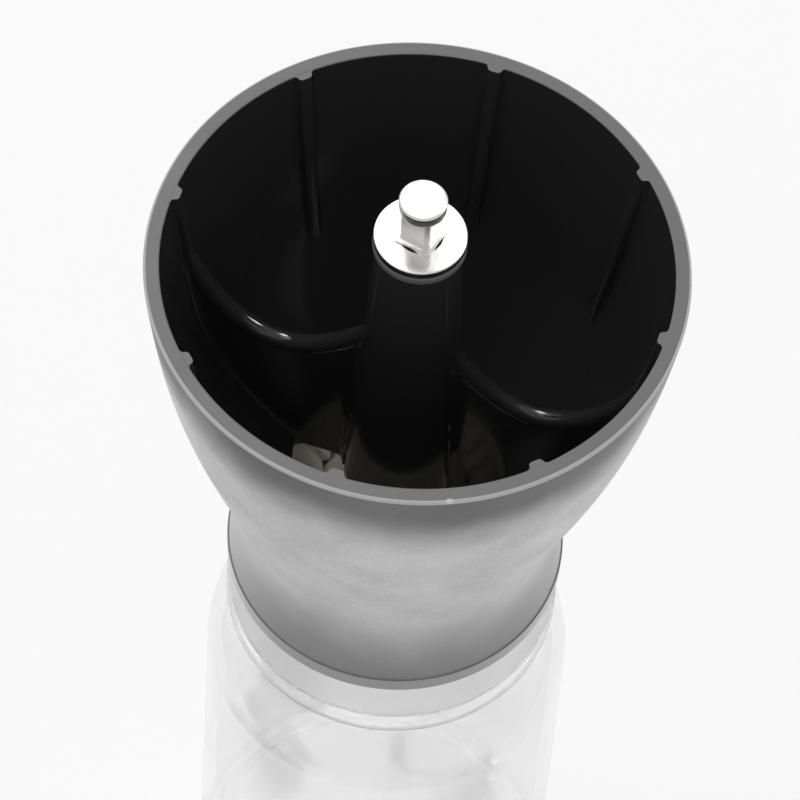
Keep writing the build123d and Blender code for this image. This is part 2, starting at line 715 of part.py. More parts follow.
with BuildPart() as crank_hub:
    with BuildSketch(crank_plane.offset(arm_thickness)):
        Circle(hub_radius)
        with Locations((0, -keyhole_slide)):
            Circle(hub_radius)
        make_hull()
        add(keyhole(), mode=Mode.SUBTRACT)
    extrude(amount=hub_height)
    hub_edges = crank_hub.edges().filter_by(GeomType.CIRCLE).group_by(SortBy.RADIUS)[-1]
    fillet(hub_edges.group_by(Axis.Z)[-1], radius=arm_chamfer)
report("crank_hub", crank_hub.part)

knob_foot_z = arm_thickness + knob_washer_thickness + 2 * running_fit
knob_top_z = knob_foot_z + knob_height
well_floor_z = knob_top_z - knob_well_depth
pin_head_z = well_floor_z + running_fit
knob_place = (crank_place[0], crank_place[1] - crank_reach)
knob_plane = Plane((*knob_place, 0))
knob_axis = Axis((*knob_place, 0), (0, 0, 1))
knob_profile_plane = Plane(origin=(*knob_place, 0), x_dir=(1, 0, 0), z_dir=(0, -1, 0))

with BuildPart() as knob_pin:
    with BuildSketch(knob_plane):
        Circle(knob_pin_head_radius)
    extrude(amount=knob_pin_head_height)
    with BuildSketch(knob_plane):
        Circle(knob_pin_radius)
    extrude(amount=pin_head_z)
    with BuildSketch(knob_plane.offset(pin_head_z)):
        Circle(knob_pin_head_radius)
    extrude(amount=knob_pin_head_height)
report("knob_pin", knob_pin.part)

with BuildPart() as knob_washer:
    with BuildSketch(knob_plane.offset(arm_thickness + running_fit)):
        Circle(knob_foot_radius - knob_washer_inset)
        Circle(knob_pin_radius + running_fit, mode=Mode.SUBTRACT)
    extrude(amount=knob_washer_thickness)
report("knob_washer", knob_washer.part)

with BuildPart() as crank_knob:
    with BuildSketch(knob_profile_plane):
        with BuildLine():
            Polyline((0, knob_top_z), (0, knob_foot_z), (knob_foot_radius, knob_foot_z))
            Spline((knob_foot_radius, knob_foot_z),
                   (knob_waist_radius, knob_foot_z + knob_waist_height),
                   (knob_crown_radius, knob_foot_z + knob_crown_height),
                   (knob_cap_radius, knob_top_z),
                   tangents=[(0.02, 1), (-1, 0.12)])
            Line((knob_cap_radius, knob_top_z), (0, knob_top_z))
        make_face()
    revolve(axis=knob_axis)
    foot_edge = crank_knob.edges().filter_by(GeomType.CIRCLE).group_by(Axis.Z)[0]
    fillet(foot_edge, radius=knob_foot_round)
    with BuildSketch(knob_plane.offset(knob_foot_z)):
        Circle(knob_pin_radius + running_fit)
    extrude(amount=knob_height, mode=Mode.SUBTRACT)
    with BuildSketch(knob_plane.offset(well_floor_z)):
        Circle(knob_well_radius)
    extrude(amount=knob_well_depth, mode=Mode.SUBTRACT)
report("crank_knob", crank_knob.part)

with BuildPart() as knob_cap:
    with BuildSketch(knob_plane.offset(knob_top_z - knob_cap_lip)):
        Circle(knob_well_radius - running_fit)
    extrude(amount=knob_cap_lip)
    with BuildSketch(knob_plane.offset(knob_top_z)):
        Circle(knob_cap_radius - knob_cap_inset)
    extrude(amount=knob_cap_height)
    dome_edge = knob_cap.edges().filter_by(GeomType.CIRCLE).group_by(Axis.Z)[-1]
    fillet(dome_edge, radius=knob_cap_round)
report("knob_cap", knob_cap.part)
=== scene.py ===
"""Looks of a slim hand crank coffee grinder, shown with its lid and crank taken off.

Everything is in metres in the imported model's own frame: +Z up the spindle, +X along the
bridge that carries the bearing column. The classes of pieces hold their sizes in millimetres,
and the finishes hold their pattern sizes in metres.
"""

from __future__ import annotations

import json
import logging
import math
from dataclasses import dataclass, field
from enum import Enum, IntEnum
from typing import Callable, Iterable, Sequence

import bmesh
import bpy
import numpy as np
from mathutils import Matrix, Vector

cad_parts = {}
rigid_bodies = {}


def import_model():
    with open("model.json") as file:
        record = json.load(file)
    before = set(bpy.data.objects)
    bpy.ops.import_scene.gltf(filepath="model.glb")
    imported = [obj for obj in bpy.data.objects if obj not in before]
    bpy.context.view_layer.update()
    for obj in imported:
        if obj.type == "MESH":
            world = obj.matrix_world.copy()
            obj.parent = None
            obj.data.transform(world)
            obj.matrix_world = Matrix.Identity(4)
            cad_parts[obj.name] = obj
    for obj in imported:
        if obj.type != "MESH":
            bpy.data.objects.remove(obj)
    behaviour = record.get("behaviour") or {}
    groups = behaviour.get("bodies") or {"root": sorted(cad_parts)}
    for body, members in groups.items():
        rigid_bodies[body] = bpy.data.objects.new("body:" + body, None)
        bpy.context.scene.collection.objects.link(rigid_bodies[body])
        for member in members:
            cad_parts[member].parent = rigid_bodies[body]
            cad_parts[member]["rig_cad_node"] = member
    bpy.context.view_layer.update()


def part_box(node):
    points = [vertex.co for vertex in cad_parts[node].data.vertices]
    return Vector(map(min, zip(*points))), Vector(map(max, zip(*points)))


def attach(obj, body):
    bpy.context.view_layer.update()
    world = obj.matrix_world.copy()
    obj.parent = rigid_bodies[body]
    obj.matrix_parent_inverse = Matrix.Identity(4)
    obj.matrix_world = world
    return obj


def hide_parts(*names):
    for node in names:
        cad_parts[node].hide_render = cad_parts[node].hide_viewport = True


MM = 0.001
FULL_TURN = 2 * math.pi
HAIR = 1e-4  # millimetres by which a ring may miss its place
SAME_SPOT = 1e-7  # metres within which two points are one
CAD_SEAM = 2e-6  # the same, for the CAD's own meshes
FLAT_ANGLE = math.radians(1)  # CAD faces that turn by less are merged
BREAK_ANGLE = math.radians(35)  # CAD edges that turn by more are broken
ROUND_STEPS = 6  # facets across a rounded corner
ARC_SHARE = 0.46  # the most of a stretch that the arc at one of its ends may take
NOISE_BAND = (0.3, 0.7)  # where nearly all of a noise's values lie
LOG = logging.getLogger("coffee_grinder")

Point2 = tuple[float, float]
Point3 = tuple[float, float, float]
Socket = bpy.types.NodeSocket
Colour = tuple[float, float, float, float]


# ---- colours and nodes
def linear(code: str) -> Colour:
    """Turn an sRGB hex colour into linear red, green, blue and alpha.

    Args:
        code: Six hex digits, with or without a leading hash.

    Returns:
        The colour as Blender's sockets hold it.
    """
    digits = code.lstrip("#")
    channels = [int(digits[i:i + 2], 16) / 255 for i in (0, 2, 4)]
    bright = [c / 12.92 if c <= 0.04045 else ((c + 0.055) / 1.055) ** 2.4 for c in channels]
    return bright[0], bright[1], bright[2], 1.0


def set_inputs(tree: bpy.types.NodeTree, node: bpy.types.Node, inputs: dict) -> None:
    """Set a node's inputs, by name or index, to values or to the sockets that feed them."""
    for key, value in inputs.items():
        if isinstance(value, Socket):
            tree.links.new(value, node.inputs[key])
        else:
            node.inputs[key].default_value = value


def add_node(tree: bpy.types.NodeTree, kind: str, inputs: dict | None = None,
             **settings: object) -> bpy.types.Node:
    """Add one node with its settings, values and links.

    Args:
        tree: The material or geometry tree.
        kind: The node's type, such as ShaderNodeBump.
        inputs: Input name or index to a value, or to the socket that feeds it.
        **settings: The node's own properties.

    Returns:
        The new node.
    """
    node = tree.nodes.new(kind)
    for key, value in settings.items():
        setattr(node, key, value)
    set_inputs(tree, node, inputs or {})
    return node


def calc(tree: bpy.types.NodeTree, operation: str, *values: Socket | float) -> Socket:
    """A Math node's result."""
    return add_node(tree, "ShaderNodeMath", dict(enumerate(values)), operation=operation).outputs[0]


def calc_vector(tree: bpy.types.NodeTree, operation: str,
                *values: Socket | Point3) -> bpy.types.Node:
    """A Vector Math node."""
    return add_node(tree, "ShaderNodeVectorMath", dict(enumerate(values)), operation=operation)


def remap(tree: bpy.types.NodeTree, value: Socket, start: Sequence[Socket | float],
          end: Sequence[Socket | float] = (0.0, 1.0), curve: str = "LINEAR") -> Socket:
    """Map a value from one span to another, and hold it at the second span's ends."""
    return add_node(tree, "ShaderNodeMapRange",
                    {"Value": value, "From Min": start[0], "From Max": start[1], "To Min": end[0],
                     "To Max": end[1]}, interpolation_type=curve).outputs["Result"]


def empty_tree(owner: bpy.types.Material | bpy.types.World) -> bpy.types.NodeTree:
    """A material's or a world's own tree, with nothing in it."""
    owner.use_nodes = True
    owner.node_tree.nodes.clear()
    return owner.node_tree


# ---- finishes
@dataclass(frozen=True)
class Look:
    """A material's nodes: its Principled shader, and the patterns that feed it."""

    tree: bpy.types.NodeTree
    shader: bpy.types.Node

    def set(self, **sockets: Socket | Colour | float) -> None:
        """Set the shader's sockets, whose names have underscores for their spaces here."""
        set_inputs(self.tree, self.shader,
                   {key.replace("_", " "): value for key, value in sockets.items()})

    def grain(self, size: float, detail: float = 2.0, stretch: Point3 = (1, 1, 1),
              band: Point2 | None = None, peak: float = 1.0) -> Socket:
        """Noise whose features are about size metres wide, in the object's own space.

        Args:
            size: The width of one grain.
            detail: How many finer layers the noise has.
            stretch: How much longer the grains are along each axis.
            band: The part of the noise that is spread from 0 to the peak; all of it without one.
            peak: The value at the top of the band.

        Returns:
            The pattern's factor.
        """
        place = add_node(self.tree, "ShaderNodeTexCoord").outputs["Object"]
        scaled = add_node(self.tree, "ShaderNodeMapping",
                          {"Vector": place, "Scale": [1 / s for s in stretch]})
        noise = add_node(self.tree, "ShaderNodeTexNoise", {"Vector": scaled.outputs["Vector"],
                         "Scale": 1 / size, "Detail": detail}).outputs["Fac"]
        return noise if band is None else remap(self.tree, noise, band, (0.0, peak))

    def layered(self, base: Socket | str, *coats: tuple[Socket, Socket | str]) -> Socket:
        """Lay colours over a base in turn, each where its own pattern is high.

        Args:
            base: A hex colour, or the socket that carries one.
            *coats: Each coat's pattern, and its hex colour or the socket that carries one.

        Returns:
            The blended colour.
        """
        for pattern, colour in coats:
            under, over = (linear(c) if isinstance(c, str) else c for c in (base, colour))
            base = add_node(self.tree, "ShaderNodeMix", {0: pattern, 6: under, 7: over},
                            data_type="RGBA").outputs[2]
        return base

    def relief(self, height: Socket, depth: float) -> None:
        """Press a pattern into the surface, as deep as that many metres."""
        bump = add_node(self.tree, "ShaderNodeBump",
                        {"Height": height, "Distance": depth, "Strength": 1.0})
        self.set(Normal=bump.outputs["Normal"])

    def gloss(self, noise: Socket, rough: Sequence[float]) -> None:
        """Let the roughness follow a noise, between its values where that is low and high."""
        self.set(Roughness=remap(self.tree, noise, NOISE_BAND, rough))


@dataclass(frozen=True)
class Finish:
    """A material that starts from a Principled shader and its own pattern nodes."""

    name: str
    colour: str

    def build(self) -> bpy.types.Material:
        """Make the material, with the pattern that the finish adds."""
        if self.name in bpy.data.materials:
            return bpy.data.materials[self.name]
        material = bpy.data.materials.new(self.name)
        material.diffuse_color = linear(self.colour)
        tree = empty_tree(material)
        shader = add_node(tree, "ShaderNodeBsdfPrincipled", {"Base Color": linear(self.colour)})
        add_node(tree, "ShaderNodeOutputMaterial", {"Surface": shader.outputs["BSDF"]})
        self.dress(Look(tree, shader))
        return material

    def dress(self, look: Look) -> None:
        """Set the shader's sockets and add the pattern."""


@dataclass(frozen=True)
class ErodedPlastic(Finish):
    """Plastic moulded in a spark-eroded tool: an even matt grain that greys the colour."""

    light: str
    roughness: float = 0.42
    grain_size: float = 0.35 * MM  # coarser than the tool's own 0.1 mm grain, so that it shows
    grain_depth: float = 0.012 * MM
    specular: float = 0.5
    cloud_size: float = 18 * MM
    rubbing: float = 0.05  # how far handling moves the roughness up and down

    def dress(self, look: Look) -> None:
        """Grain in the normal, and broad clouds in colour and roughness."""
        clouds = look.grain(self.cloud_size, detail=3.0)
        look.set(Base_Color=look.layered(self.colour, (clouds, self.light)))
        self.roughen(look, clouds)

    def roughen(self, look: Look, clouds: Socket) -> None:
        """The tool's grain in the normal, and the clouds in the roughness."""
        look.set(Specular_IOR_Level=self.specular)
        look.gloss(clouds, (self.roughness - self.rubbing, self.roughness + self.rubbing))
        look.relief(look.grain(self.grain_size, detail=3.0), self.grain_depth)


@dataclass(frozen=True)
class SmokedShell(ErodedPlastic):
    """The same grain on tinted, slightly see-through styrene, with light and shade painted in.

    The middle of the flank is painted pale in cloudy patches as painted light, and the rim and
    the collar are painted dark as painted shade; that shade runs lower below the gate on the
    rim. A painted highlight lies along the rim's outer edge, and the collar's fine grain scatters
    light at low angles like a bloom. Heights, radii and widths are in millimetres, and pattern
    sizes in metres.
    """

    cloud_size: float = 14 * MM
    rubbing: float = 0.06
    # painted light: the pale colours of the flank's middle
    pale: str = "CCCCCD"
    painted_light_cloud: str = "BDBDBE"
    patch_size: float = 9 * MM
    patch_band: Point2 = (0.35, 0.65)
    speck: str = "DCDCDD"
    speck_size: float = 0.9 * MM
    speck_band: Point2 = (0.55, 0.75)
    speck_peak: float = 0.6
    rim_shade_fade: Point2 = (173.0, 158.5)  # painted shade above, painted pale light below
    # the collar's fade: painted pale light above, painted shade below
    collar_shade_fade: Point2 = (103.5, 124.0)
    cloud_shift: float = 9.0  # how far the clouds pull the two fades up
    lip: Point2 = (103.9, 103.5)  # the collar's lip band starts here
    lip_tint: str = "727273"
    gate_angle: float = math.radians(294.5)
    gate_run: Point2 = (5.0, 26.0)  # how much lower the painted rim shade runs, and how far from the gate
    gate_scar: Point2 = (0.7, 0.3)  # the cut sprue's pale scar fades between these radii
    gate_light: str = "CACACC"
    rim_edge: Point2 = (36.0, 174.0)  # radius and height of the rim's outer edge, where a highlight is painted
    edge_inset: Point2 = (0.45, 0.3)  # how far inside that radius the painted highlight starts and is full
    edge_drop: Point2 = (0.8, 0.5)  # how far below that height the painted highlight starts and is full
    # the colour of the highlight painted on the rim's outer edge
    painted_edge_highlight: str = "B2B2B3"
    bloom: float = 1.0
    bloom_roughness: float = 0.5

    def dress(self, look: Look) -> None:
        """Painted shade on the rim and collar and painted light in the middle by height, clouds in
        the pale middle, a painted highlight on the edge, bloom on the collar and the grain.
        """
        tree = look.tree
        place = add_node(tree, "ShaderNodeTexCoord").outputs["Object"]
        height = add_node(tree, "ShaderNodeSeparateXYZ", {"Vector": place}).outputs["Z"]
        flat = calc_vector(tree, "MULTIPLY", place, (1, 1, 0)).outputs[0]
        out = calc_vector(tree, "LENGTH", flat).outputs["Value"]
        radius, top = self.rim_edge
        gate = tuple(c * MM for c in (radius * math.cos(self.gate_angle),
                                      radius * math.sin(self.gate_angle), top))
        away = calc_vector(tree, "DISTANCE", place, gate).outputs["Value"]
        low, reach = (length * MM for length in self.gate_run)
        clouds = look.grain(self.cloud_size)
        shifted = calc(tree, "MULTIPLY_ADD", clouds, self.cloud_shift * MM, height)
        lower = calc(tree, "ADD", shifted, remap(tree, away, (0.0, reach), (low, 0.0)))
        mean = self.cloud_shift / 2
        # rim and collar are the fades of the painted shade; wide and high place the edge's painted
        # highlight
        rim, collar, lip, wide, high, scar = (
            remap(tree, value, [length * MM for length in fade], curve="SMOOTHSTEP")
            for value, fade in ((lower, [z + mean for z in self.rim_shade_fade]),
                                (shifted, [z + mean for z in self.collar_shade_fade]),
                                (height, self.lip), (out, [radius - r for r in self.edge_inset]),
                                (height, [top - z for z in self.edge_drop]),
                                (away, self.gate_scar)))
        # the first is the mask of the painted pale light in the middle, the second that of the
        # painted edge highlight
        painted_light_mask, edge = calc(tree, "MULTIPLY", rim, collar), calc(tree, "MULTIPLY", wide, high)
        patches = look.grain(self.patch_size, detail=4.0, band=self.patch_band)
        specks = look.grain(self.speck_size, band=self.speck_band, peak=self.speck_peak)
        # the dark colour painted as shade on the rim and collar, with random clouds and the lip
        # band
        tinted = look.layered(self.colour, (clouds, self.light), (lip, self.lip_tint))
        painted_light_colour = look.layered(self.painted_light_cloud, (patches, self.pale), (specks, self.speck))
        look.set(Base_Color=look.layered(tinted, (painted_light_mask, painted_light_colour), (edge, self.painted_edge_highlight),
                                         (scar, self.gate_light)),
                 Sheen_Weight=remap(tree, collar, (0.0, 1.0), (self.bloom, 0.0)),
                 Sheen_Roughness=self.bloom_roughness)
        self.roughen(look, clouds)


@dataclass(frozen=True)
class PolishedPlastic(Finish):
    """Styrene from a polished tool: deep colour, sharp reflections, faint flow and dust."""

    roughness: float = 0.11
    wear: Point2 = (0.8, 1.5)  # shares of the roughness where the rubs are low and high
    rub_size: float = 9 * MM
    ripple_size: float = 7 * MM
    ripple_depth: float = 0.02 * MM

    def dress(self, look: Look) -> None:
        """Slow ripples in the normal, and rubbed patches in the roughness."""
        look.gloss(look.grain(self.rub_size, detail=4.0),
                   [self.roughness * share for share in self.wear])
        look.relief(look.grain(self.ripple_size, detail=1.0), self.ripple_depth)


@dataclass(frozen=True)
class ClearResin(Finish):
    """Clear moulded resin: it shows its edges and rings, and little else."""

    roughness: float = 0.1
    body: float = 1.0  # the share of light that the wall bends; the rest goes straight through
    ior: float = 1.49
    wave_size: float = 12 * MM
    wave_depth: float = 0.01 * MM

    def dress(self, look: Look) -> None:
        """Full transmission, softened a little, with the slow waves of a moulded wall."""
        look.set(Transmission_Weight=1.0, Alpha=self.body, IOR=self.ior, Roughness=self.roughness)
        look.relief(look.grain(self.wave_size, detail=1.0), self.wave_depth)


@dataclass(frozen=True)
class TurnedMetal(Finish):
    """Metal turned on a lathe: fine rings round the work's axis."""

    centre: Point2 = (0.0, 0.0)  # where the axis stands, in millimetres
    roughness: float = 0.2
    wear: Point2 = (0.8, 1.35)  # shares of the roughness where the marks are low and high
    feed: float = 0.12 * MM  # coarser than a finishing cut's 0.05 mm, so that it shows
    ring_depth: float = 0.002 * MM
    mark_size: float = 1.5 * MM

    def dress(self, look: Look) -> None:
        """Rings on the ends and bands on the sides, with handling marks in the roughness."""
        tree = look.tree
        place = add_node(tree, "ShaderNodeTexCoord").outputs["Object"]
        moved = add_node(tree, "ShaderNodeMapping", {"Vector": place, "Location":
                         [-self.centre[0] * MM, -self.centre[1] * MM, 0]}).outputs["Vector"]
        height = add_node(tree, "ShaderNodeSeparateXYZ", {"Vector": moved}).outputs["Z"]
        flat = calc_vector(tree, "MULTIPLY", moved, (1, 1, 0)).outputs[0]
        run = calc(tree, "ADD", calc_vector(tree, "LENGTH", flat).outputs["Value"], height)
        rings = calc(tree, "SINE", calc(tree, "MULTIPLY", run, FULL_TURN / self.feed))
        look.set(Metallic=1.0)
        look.gloss(look.grain(self.mark_size, detail=3.0),
                   [self.roughness * share for share in self.wear])
        look.relief(rings, self.ring_depth)


@dataclass(frozen=True)
class BrushedSteel(Finish):
    """Stainless strip brushed along its length."""

    roughness: float = 0.3
    wear: Point2 = (0.75, 1.3)  # shares of the roughness where the scratches are low and high
    scratch_width: float = 0.12 * MM
    scratch_run: Point3 = (1, 60, 1)  # the scratches are this much longer along Y
    scratch_depth: float = 0.004 * MM

    def dress(self, look: Look) -> None:
        """Long fine scratches along Y in the normal and the roughness."""
        look.set(Metallic=1.0)
        scratches = look.grain(self.scratch_width, stretch=self.scratch_run)
        look.gloss(scratches, [self.roughness * share for share in self.wear])
        look.relief(scratches, self.scratch_depth)


@dataclass(frozen=True)
class DrawnSteel(Finish):
    """Wire and thin punched steel: grey, with fine drawing marks."""

    roughness: float = 0.32
    wear: Point2 = (0.8, 1.4)  # shares of the roughness where the marks are low and high
    mark_size: float = 0.6 * MM
    mark_depth: float = 0.003 * MM

    def dress(self, look: Look) -> None:
        """Small marks in the normal and the roughness."""
        look.set(Metallic=1.0)
        marks = look.grain(self.mark_size, detail=3.0)
        look.gloss(marks, [self.roughness * share for share in self.wear])
        look.relief(marks, self.mark_depth)


@dataclass(frozen=True)
class FiredCeramic(Finish):
    """Unglazed alumina: off-white, finely speckled, with a dry sheen."""

    speckle: str
    roughness: float = 0.5
    dryness: float = 0.08  # how far the speckles move the roughness up and down
    speck_size: float = 0.5 * MM
    speck_band: Point2 = (0.35, 0.6)
    pore_size: float = 0.2 * MM
    pore_depth: float = 0.01 * MM

    def dress(self, look: Look) -> None:
        """Fine speckles in the colour and a granular normal."""
        tone = look.grain(self.speck_size, detail=4.0, band=self.speck_band)
        look.set(Base_Color=look.layered(self.speckle, (tone, self.colour)))
        look.gloss(look.grain(self.speck_size, detail=4.0),
                   (self.roughness + self.dryness, self.roughness - self.dryness))
        look.relief(look.grain(self.pore_size), self.pore_depth)


# ---- outlines
class Coat(IntEnum):
    """Which of a piece's finishes a stretch of its surface takes."""

    FIRST = 0
    SECOND = 1


@dataclass(frozen=True)
class Corner:
    """A corner of a turned outline in millimetres, with the radius that rounds it.

    surface is the finish on the stretch that follows the corner.
    """

    r: float
    z: float
    round: float = 0.0
    surface: Coat = Coat.FIRST


def smooth_line(points: Sequence[Point2], start: Point2, end: Point2, steps: int) -> list[Point2]:
    """A cubic line of continuous curvature through points.

    Args:
        points: The points that the line passes.
        start: The line's direction at the first point.
        end: The line's direction at the last point.
        steps: How many stretches the result has.

    Returns:
        Evenly spread points along the line, both ends included.
    """
    at = np.array(points, float)
    chords = np.linalg.norm(np.diff(at, axis=0), axis=1)
    knots = np.concatenate([[0], np.cumsum(chords)])
    count = len(at)
    matrix, right = np.zeros((count, count)), np.zeros((count, 2))
    matrix[0, 0] = matrix[-1, -1] = 1
    right[0] = np.array(start) / np.linalg.norm(start)
    right[-1] = np.array(end) / np.linalg.norm(end)
    for i in range(1, count - 1):
        before, after = chords[i - 1], chords[i]
        matrix[i, i - 1:i + 2] = 1 / before, 2 / before + 2 / after, 1 / after
        right[i] = 3 * ((at[i] - at[i - 1]) / before ** 2 + (at[i + 1] - at[i]) / after ** 2)
    slopes = np.linalg.solve(matrix, right)
    line = []
    for value in np.linspace(0, knots[-1], steps + 1):
        i = min(int(np.searchsorted(knots, value, "right")) - 1, count - 2)
        h = chords[i]
        t = (value - knots[i]) / h
        spot = (at[i] * (1 + 2 * t) * (1 - t) ** 2 + slopes[i] * h * t * (1 - t) ** 2
                + at[i + 1] * t * t * (3 - 2 * t) + slopes[i + 1] * h * t * t * (t - 1))
        line.append((float(spot[0]), float(spot[1])))
    return line


def straight_line(start: Point2, end: Point2, count: int) -> list[Point2]:
    """Evenly spread points from start to end, both included."""
    return [(start[0] + (end[0] - start[0]) * t, start[1] + (end[1] - start[1]) * t)
            for t in np.linspace(0, 1, count)]


def along(line: Iterable[Point2], surface: Coat = Coat.FIRST) -> list[Corner]:
    """Corners with no rounding along a line, all with one finish."""
    return [Corner(r, z, 0.0, surface) for r, z in line]


def rounded(corners: Sequence[Corner], closed: bool) -> list[Corner]:
    """Replace each rounded corner by an arc with a close ring of its own on each side.

    Args:
        corners: The outline.
        closed: Whether the last corner joins the first.

    Returns:
        The outline's rings, none of them rounded.
    """
    rings: list[Corner] = []
    count = len(corners)
    for i, corner in enumerate(corners):
        if corner.round <= 0 or (i in (0, count - 1) and not closed):
            rings.append(corner)
            continue
        here = Vector((corner.r, corner.z))
        before, after = corners[i - 1], corners[(i + 1) % count]
        back = Vector((before.r, before.z)) - here
        ahead = Vector((after.r, after.z)) - here
        half_turn = back.angle(ahead) / 2
        reach = min(corner.round / math.tan(half_turn), ARC_SHARE * min(back.length, ahead.length))
        radius = reach * math.tan(half_turn)
        back.normalize()
        ahead.normalize()
        pivot = here + (back + ahead).normalized() * (radius / math.sin(half_turn))
        first, last = here + back * reach - pivot, here + ahead * reach - pivot
        start = math.atan2(first.y, first.x)
        sweep = (math.atan2(last.y, last.x) - start + math.pi) % FULL_TURN - math.pi
        # the close rings keep the smooth shading of the stretches beside the arc even
        guard = min(0.3 * radius, 0.02 + 0.1 * radius)
        outside = here + back * (reach + guard)
        rings.append(Corner(outside.x, outside.y, 0.0, before.surface))
        for step in range(ROUND_STEPS + 1):
            angle = start + sweep * step / ROUND_STEPS
            owner = before.surface if step < ROUND_STEPS / 2 else corner.surface
            rings.append(Corner(pivot.x + radius * math.cos(angle),
                                pivot.y + radius * math.sin(angle), 0.0, owner))
        outside = here + ahead * (reach + guard)
        rings.append(Corner(outside.x, outside.y, 0.0, corner.surface))
    return rings


# ---- meshes
def face_outwards(mesh: bpy.types.Mesh) -> None:
    """Merge doubles and point every face of a closed mesh outwards."""
    work = bmesh.new()
    work.from_mesh(mesh)
    bmesh.ops.remove_doubles(work, verts=work.verts, dist=SAME_SPOT)
    bmesh.ops.recalc_face_normals(work, faces=work.faces)
    work.to_mesh(mesh)
    work.free()


def mesh_from(name: str, verts: Sequence[Point3], faces: Sequence[Sequence[int]],
              surfaces: Sequence[Coat] | None = None) -> bpy.types.Mesh:
    """A closed mesh in metres from points in millimetres.

    Args:
        name: The mesh's name.
        verts: Points in millimetres.
        faces: Each face's points.
        surfaces: Each face's finish.

    Returns:
        The mesh, with its doubles merged and its faces outwards.
    """
    mesh = bpy.data.meshes.new(name)
    mesh.from_pydata([[c * MM for c in vert] for vert in verts], [], faces)
    if surfaces:
        mesh.polygons.foreach_set("material_index", surfaces)
    face_outwards(mesh)
    return mesh


def turned(name: str, corners: Sequence[Corner], steps: int, closed: bool = True,
           centre: Point2 = (0.0, 0.0),
           shape: Callable[[float, float, float], float] | None = None) -> bpy.types.Mesh:
    """Turn an outline round a vertical axis.

    Args:
        name: The mesh's name.
        corners: The outline, which is rounded first.
        steps: How many facets go round.
        closed: Whether the outline is a loop; if not, its ends lie on the axis.
        centre: Where the axis stands.
        shape: An optional radius for an angle, a radius and a height.

    Returns:
        A closed mesh with outward faces.
    """
    rings = rounded(corners, closed)
    verts: list[Point3] = []
    rows: list[list[int]] = []
    for ring in rings:
        if ring.r < HAIR:
            rows.append([len(verts)] * steps)
            verts.append((centre[0], centre[1], ring.z))
            continue
        rows.append(list(range(len(verts), len(verts) + steps)))
        for step in range(steps):
            angle = FULL_TURN * step / steps
            radius = shape(angle, ring.r, ring.z) if shape else ring.r
            verts.append((centre[0] + radius * math.cos(angle),
                          centre[1] + radius * math.sin(angle), ring.z))
    faces, surfaces = [], []
    for j in range(len(rows) if closed else len(rows) - 1):
        low, high = rows[j], rows[(j + 1) % len(rows)]
        for step in range(steps):
            after = (step + 1) % steps
            face = list(dict.fromkeys([low[step], low[after], high[after], high[step]]))
            if len(face) > 2:
                faces.append(face)
                surfaces.append(rings[j].surface)
    return mesh_from(name, verts, faces, surfaces)


def lofted(name: str, loops: Sequence[Sequence[Point3]]) -> bpy.types.Mesh:
    """Join loops of equal length, in millimetres, and close both ends."""
    count = len(loops[0])
    verts = [spot for loop in loops for spot in loop]
    faces: list[list[int]] = [list(range(count)), list(range(len(verts) - count, len(verts)))]
    for j in range(len(loops) - 1):
        for i in range(count):
            after = (i + 1) % count
            faces.append([j * count + i, j * count + after,
                          (j + 1) * count + after, (j + 1) * count + i])
    return mesh_from(name, verts, faces)


def joined(name: str, meshes: Sequence[bpy.types.Mesh]) -> bpy.types.Mesh:
    """One mesh that holds several, with their finishes kept."""
    work = bmesh.new()
    for mesh in meshes:
        work.from_mesh(mesh)
    result = bpy.data.meshes.new(name)
    work.to_mesh(result)
    work.free()
    return result


def spun(mesh: bpy.types.Mesh, angle: float) -> bpy.types.Mesh:
    """A copy of a mesh, turned round the vertical axis through the origin."""
    copy = mesh.copy()
    copy.transform(Matrix.Rotation(angle, 4, "Z"))
    return copy


def flat_distance(angle: float, turn: float, flats: int) -> float:
    """The angle from a direction to the middle of the nearest flat."""
    pitch = FULL_TURN / flats
    return abs((angle - turn + pitch / 2) % pitch - pitch / 2)


# ---- pieces on the frame
class Body(str, Enum):
    """The bodies that move by themselves."""

    HOPPER = "hopper"
    JAR = "jar"
    SPINDLE = "spindle"
    BURR_SET = "burr_set"
    NUT = "nut"
    LID = "lid"
    CRANK = "crank"
    KNOB = "knob"


class Slot(str, Enum):
    """The record's material slots."""

    SMOKE = "smoke_plastic"
    CLEAR = "clear_plastic"
    SMOKE_CLEAR = "smoke_clear_plastic"
    STAINLESS = "stainless_steel"
    SPRING = "spring_steel"
    BRASS = "brass"
    CERAMIC = "white_ceramic"
    NYLON = "grey_nylon"
    BLACK = "black_plastic"
    SILICONE = "silicone"


def placed(name: str, data: bpy.types.ID) -> bpy.types.Object:
    """A new object that holds the data, in the scene."""
    thing = bpy.data.objects.new(name, data)
    bpy.context.scene.collection.objects.link(thing)
    return thing


def cad_node(name: str) -> bpy.types.Object:
    """The CAD node of a name."""
    return next(o for o in bpy.data.objects if o.get("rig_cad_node") == name)


def heights(node: str) -> Point2:
    """A node's lowest and highest point, in millimetres."""
    low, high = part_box(node)
    return low[2] / MM, high[2] / MM


def middle(node: str) -> Point2:
    """Where the middle of a node's box stands, in millimetres."""
    low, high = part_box(node)
    return (low[0] + high[0]) / 2 / MM, (low[1] + high[1]) / 2 / MM


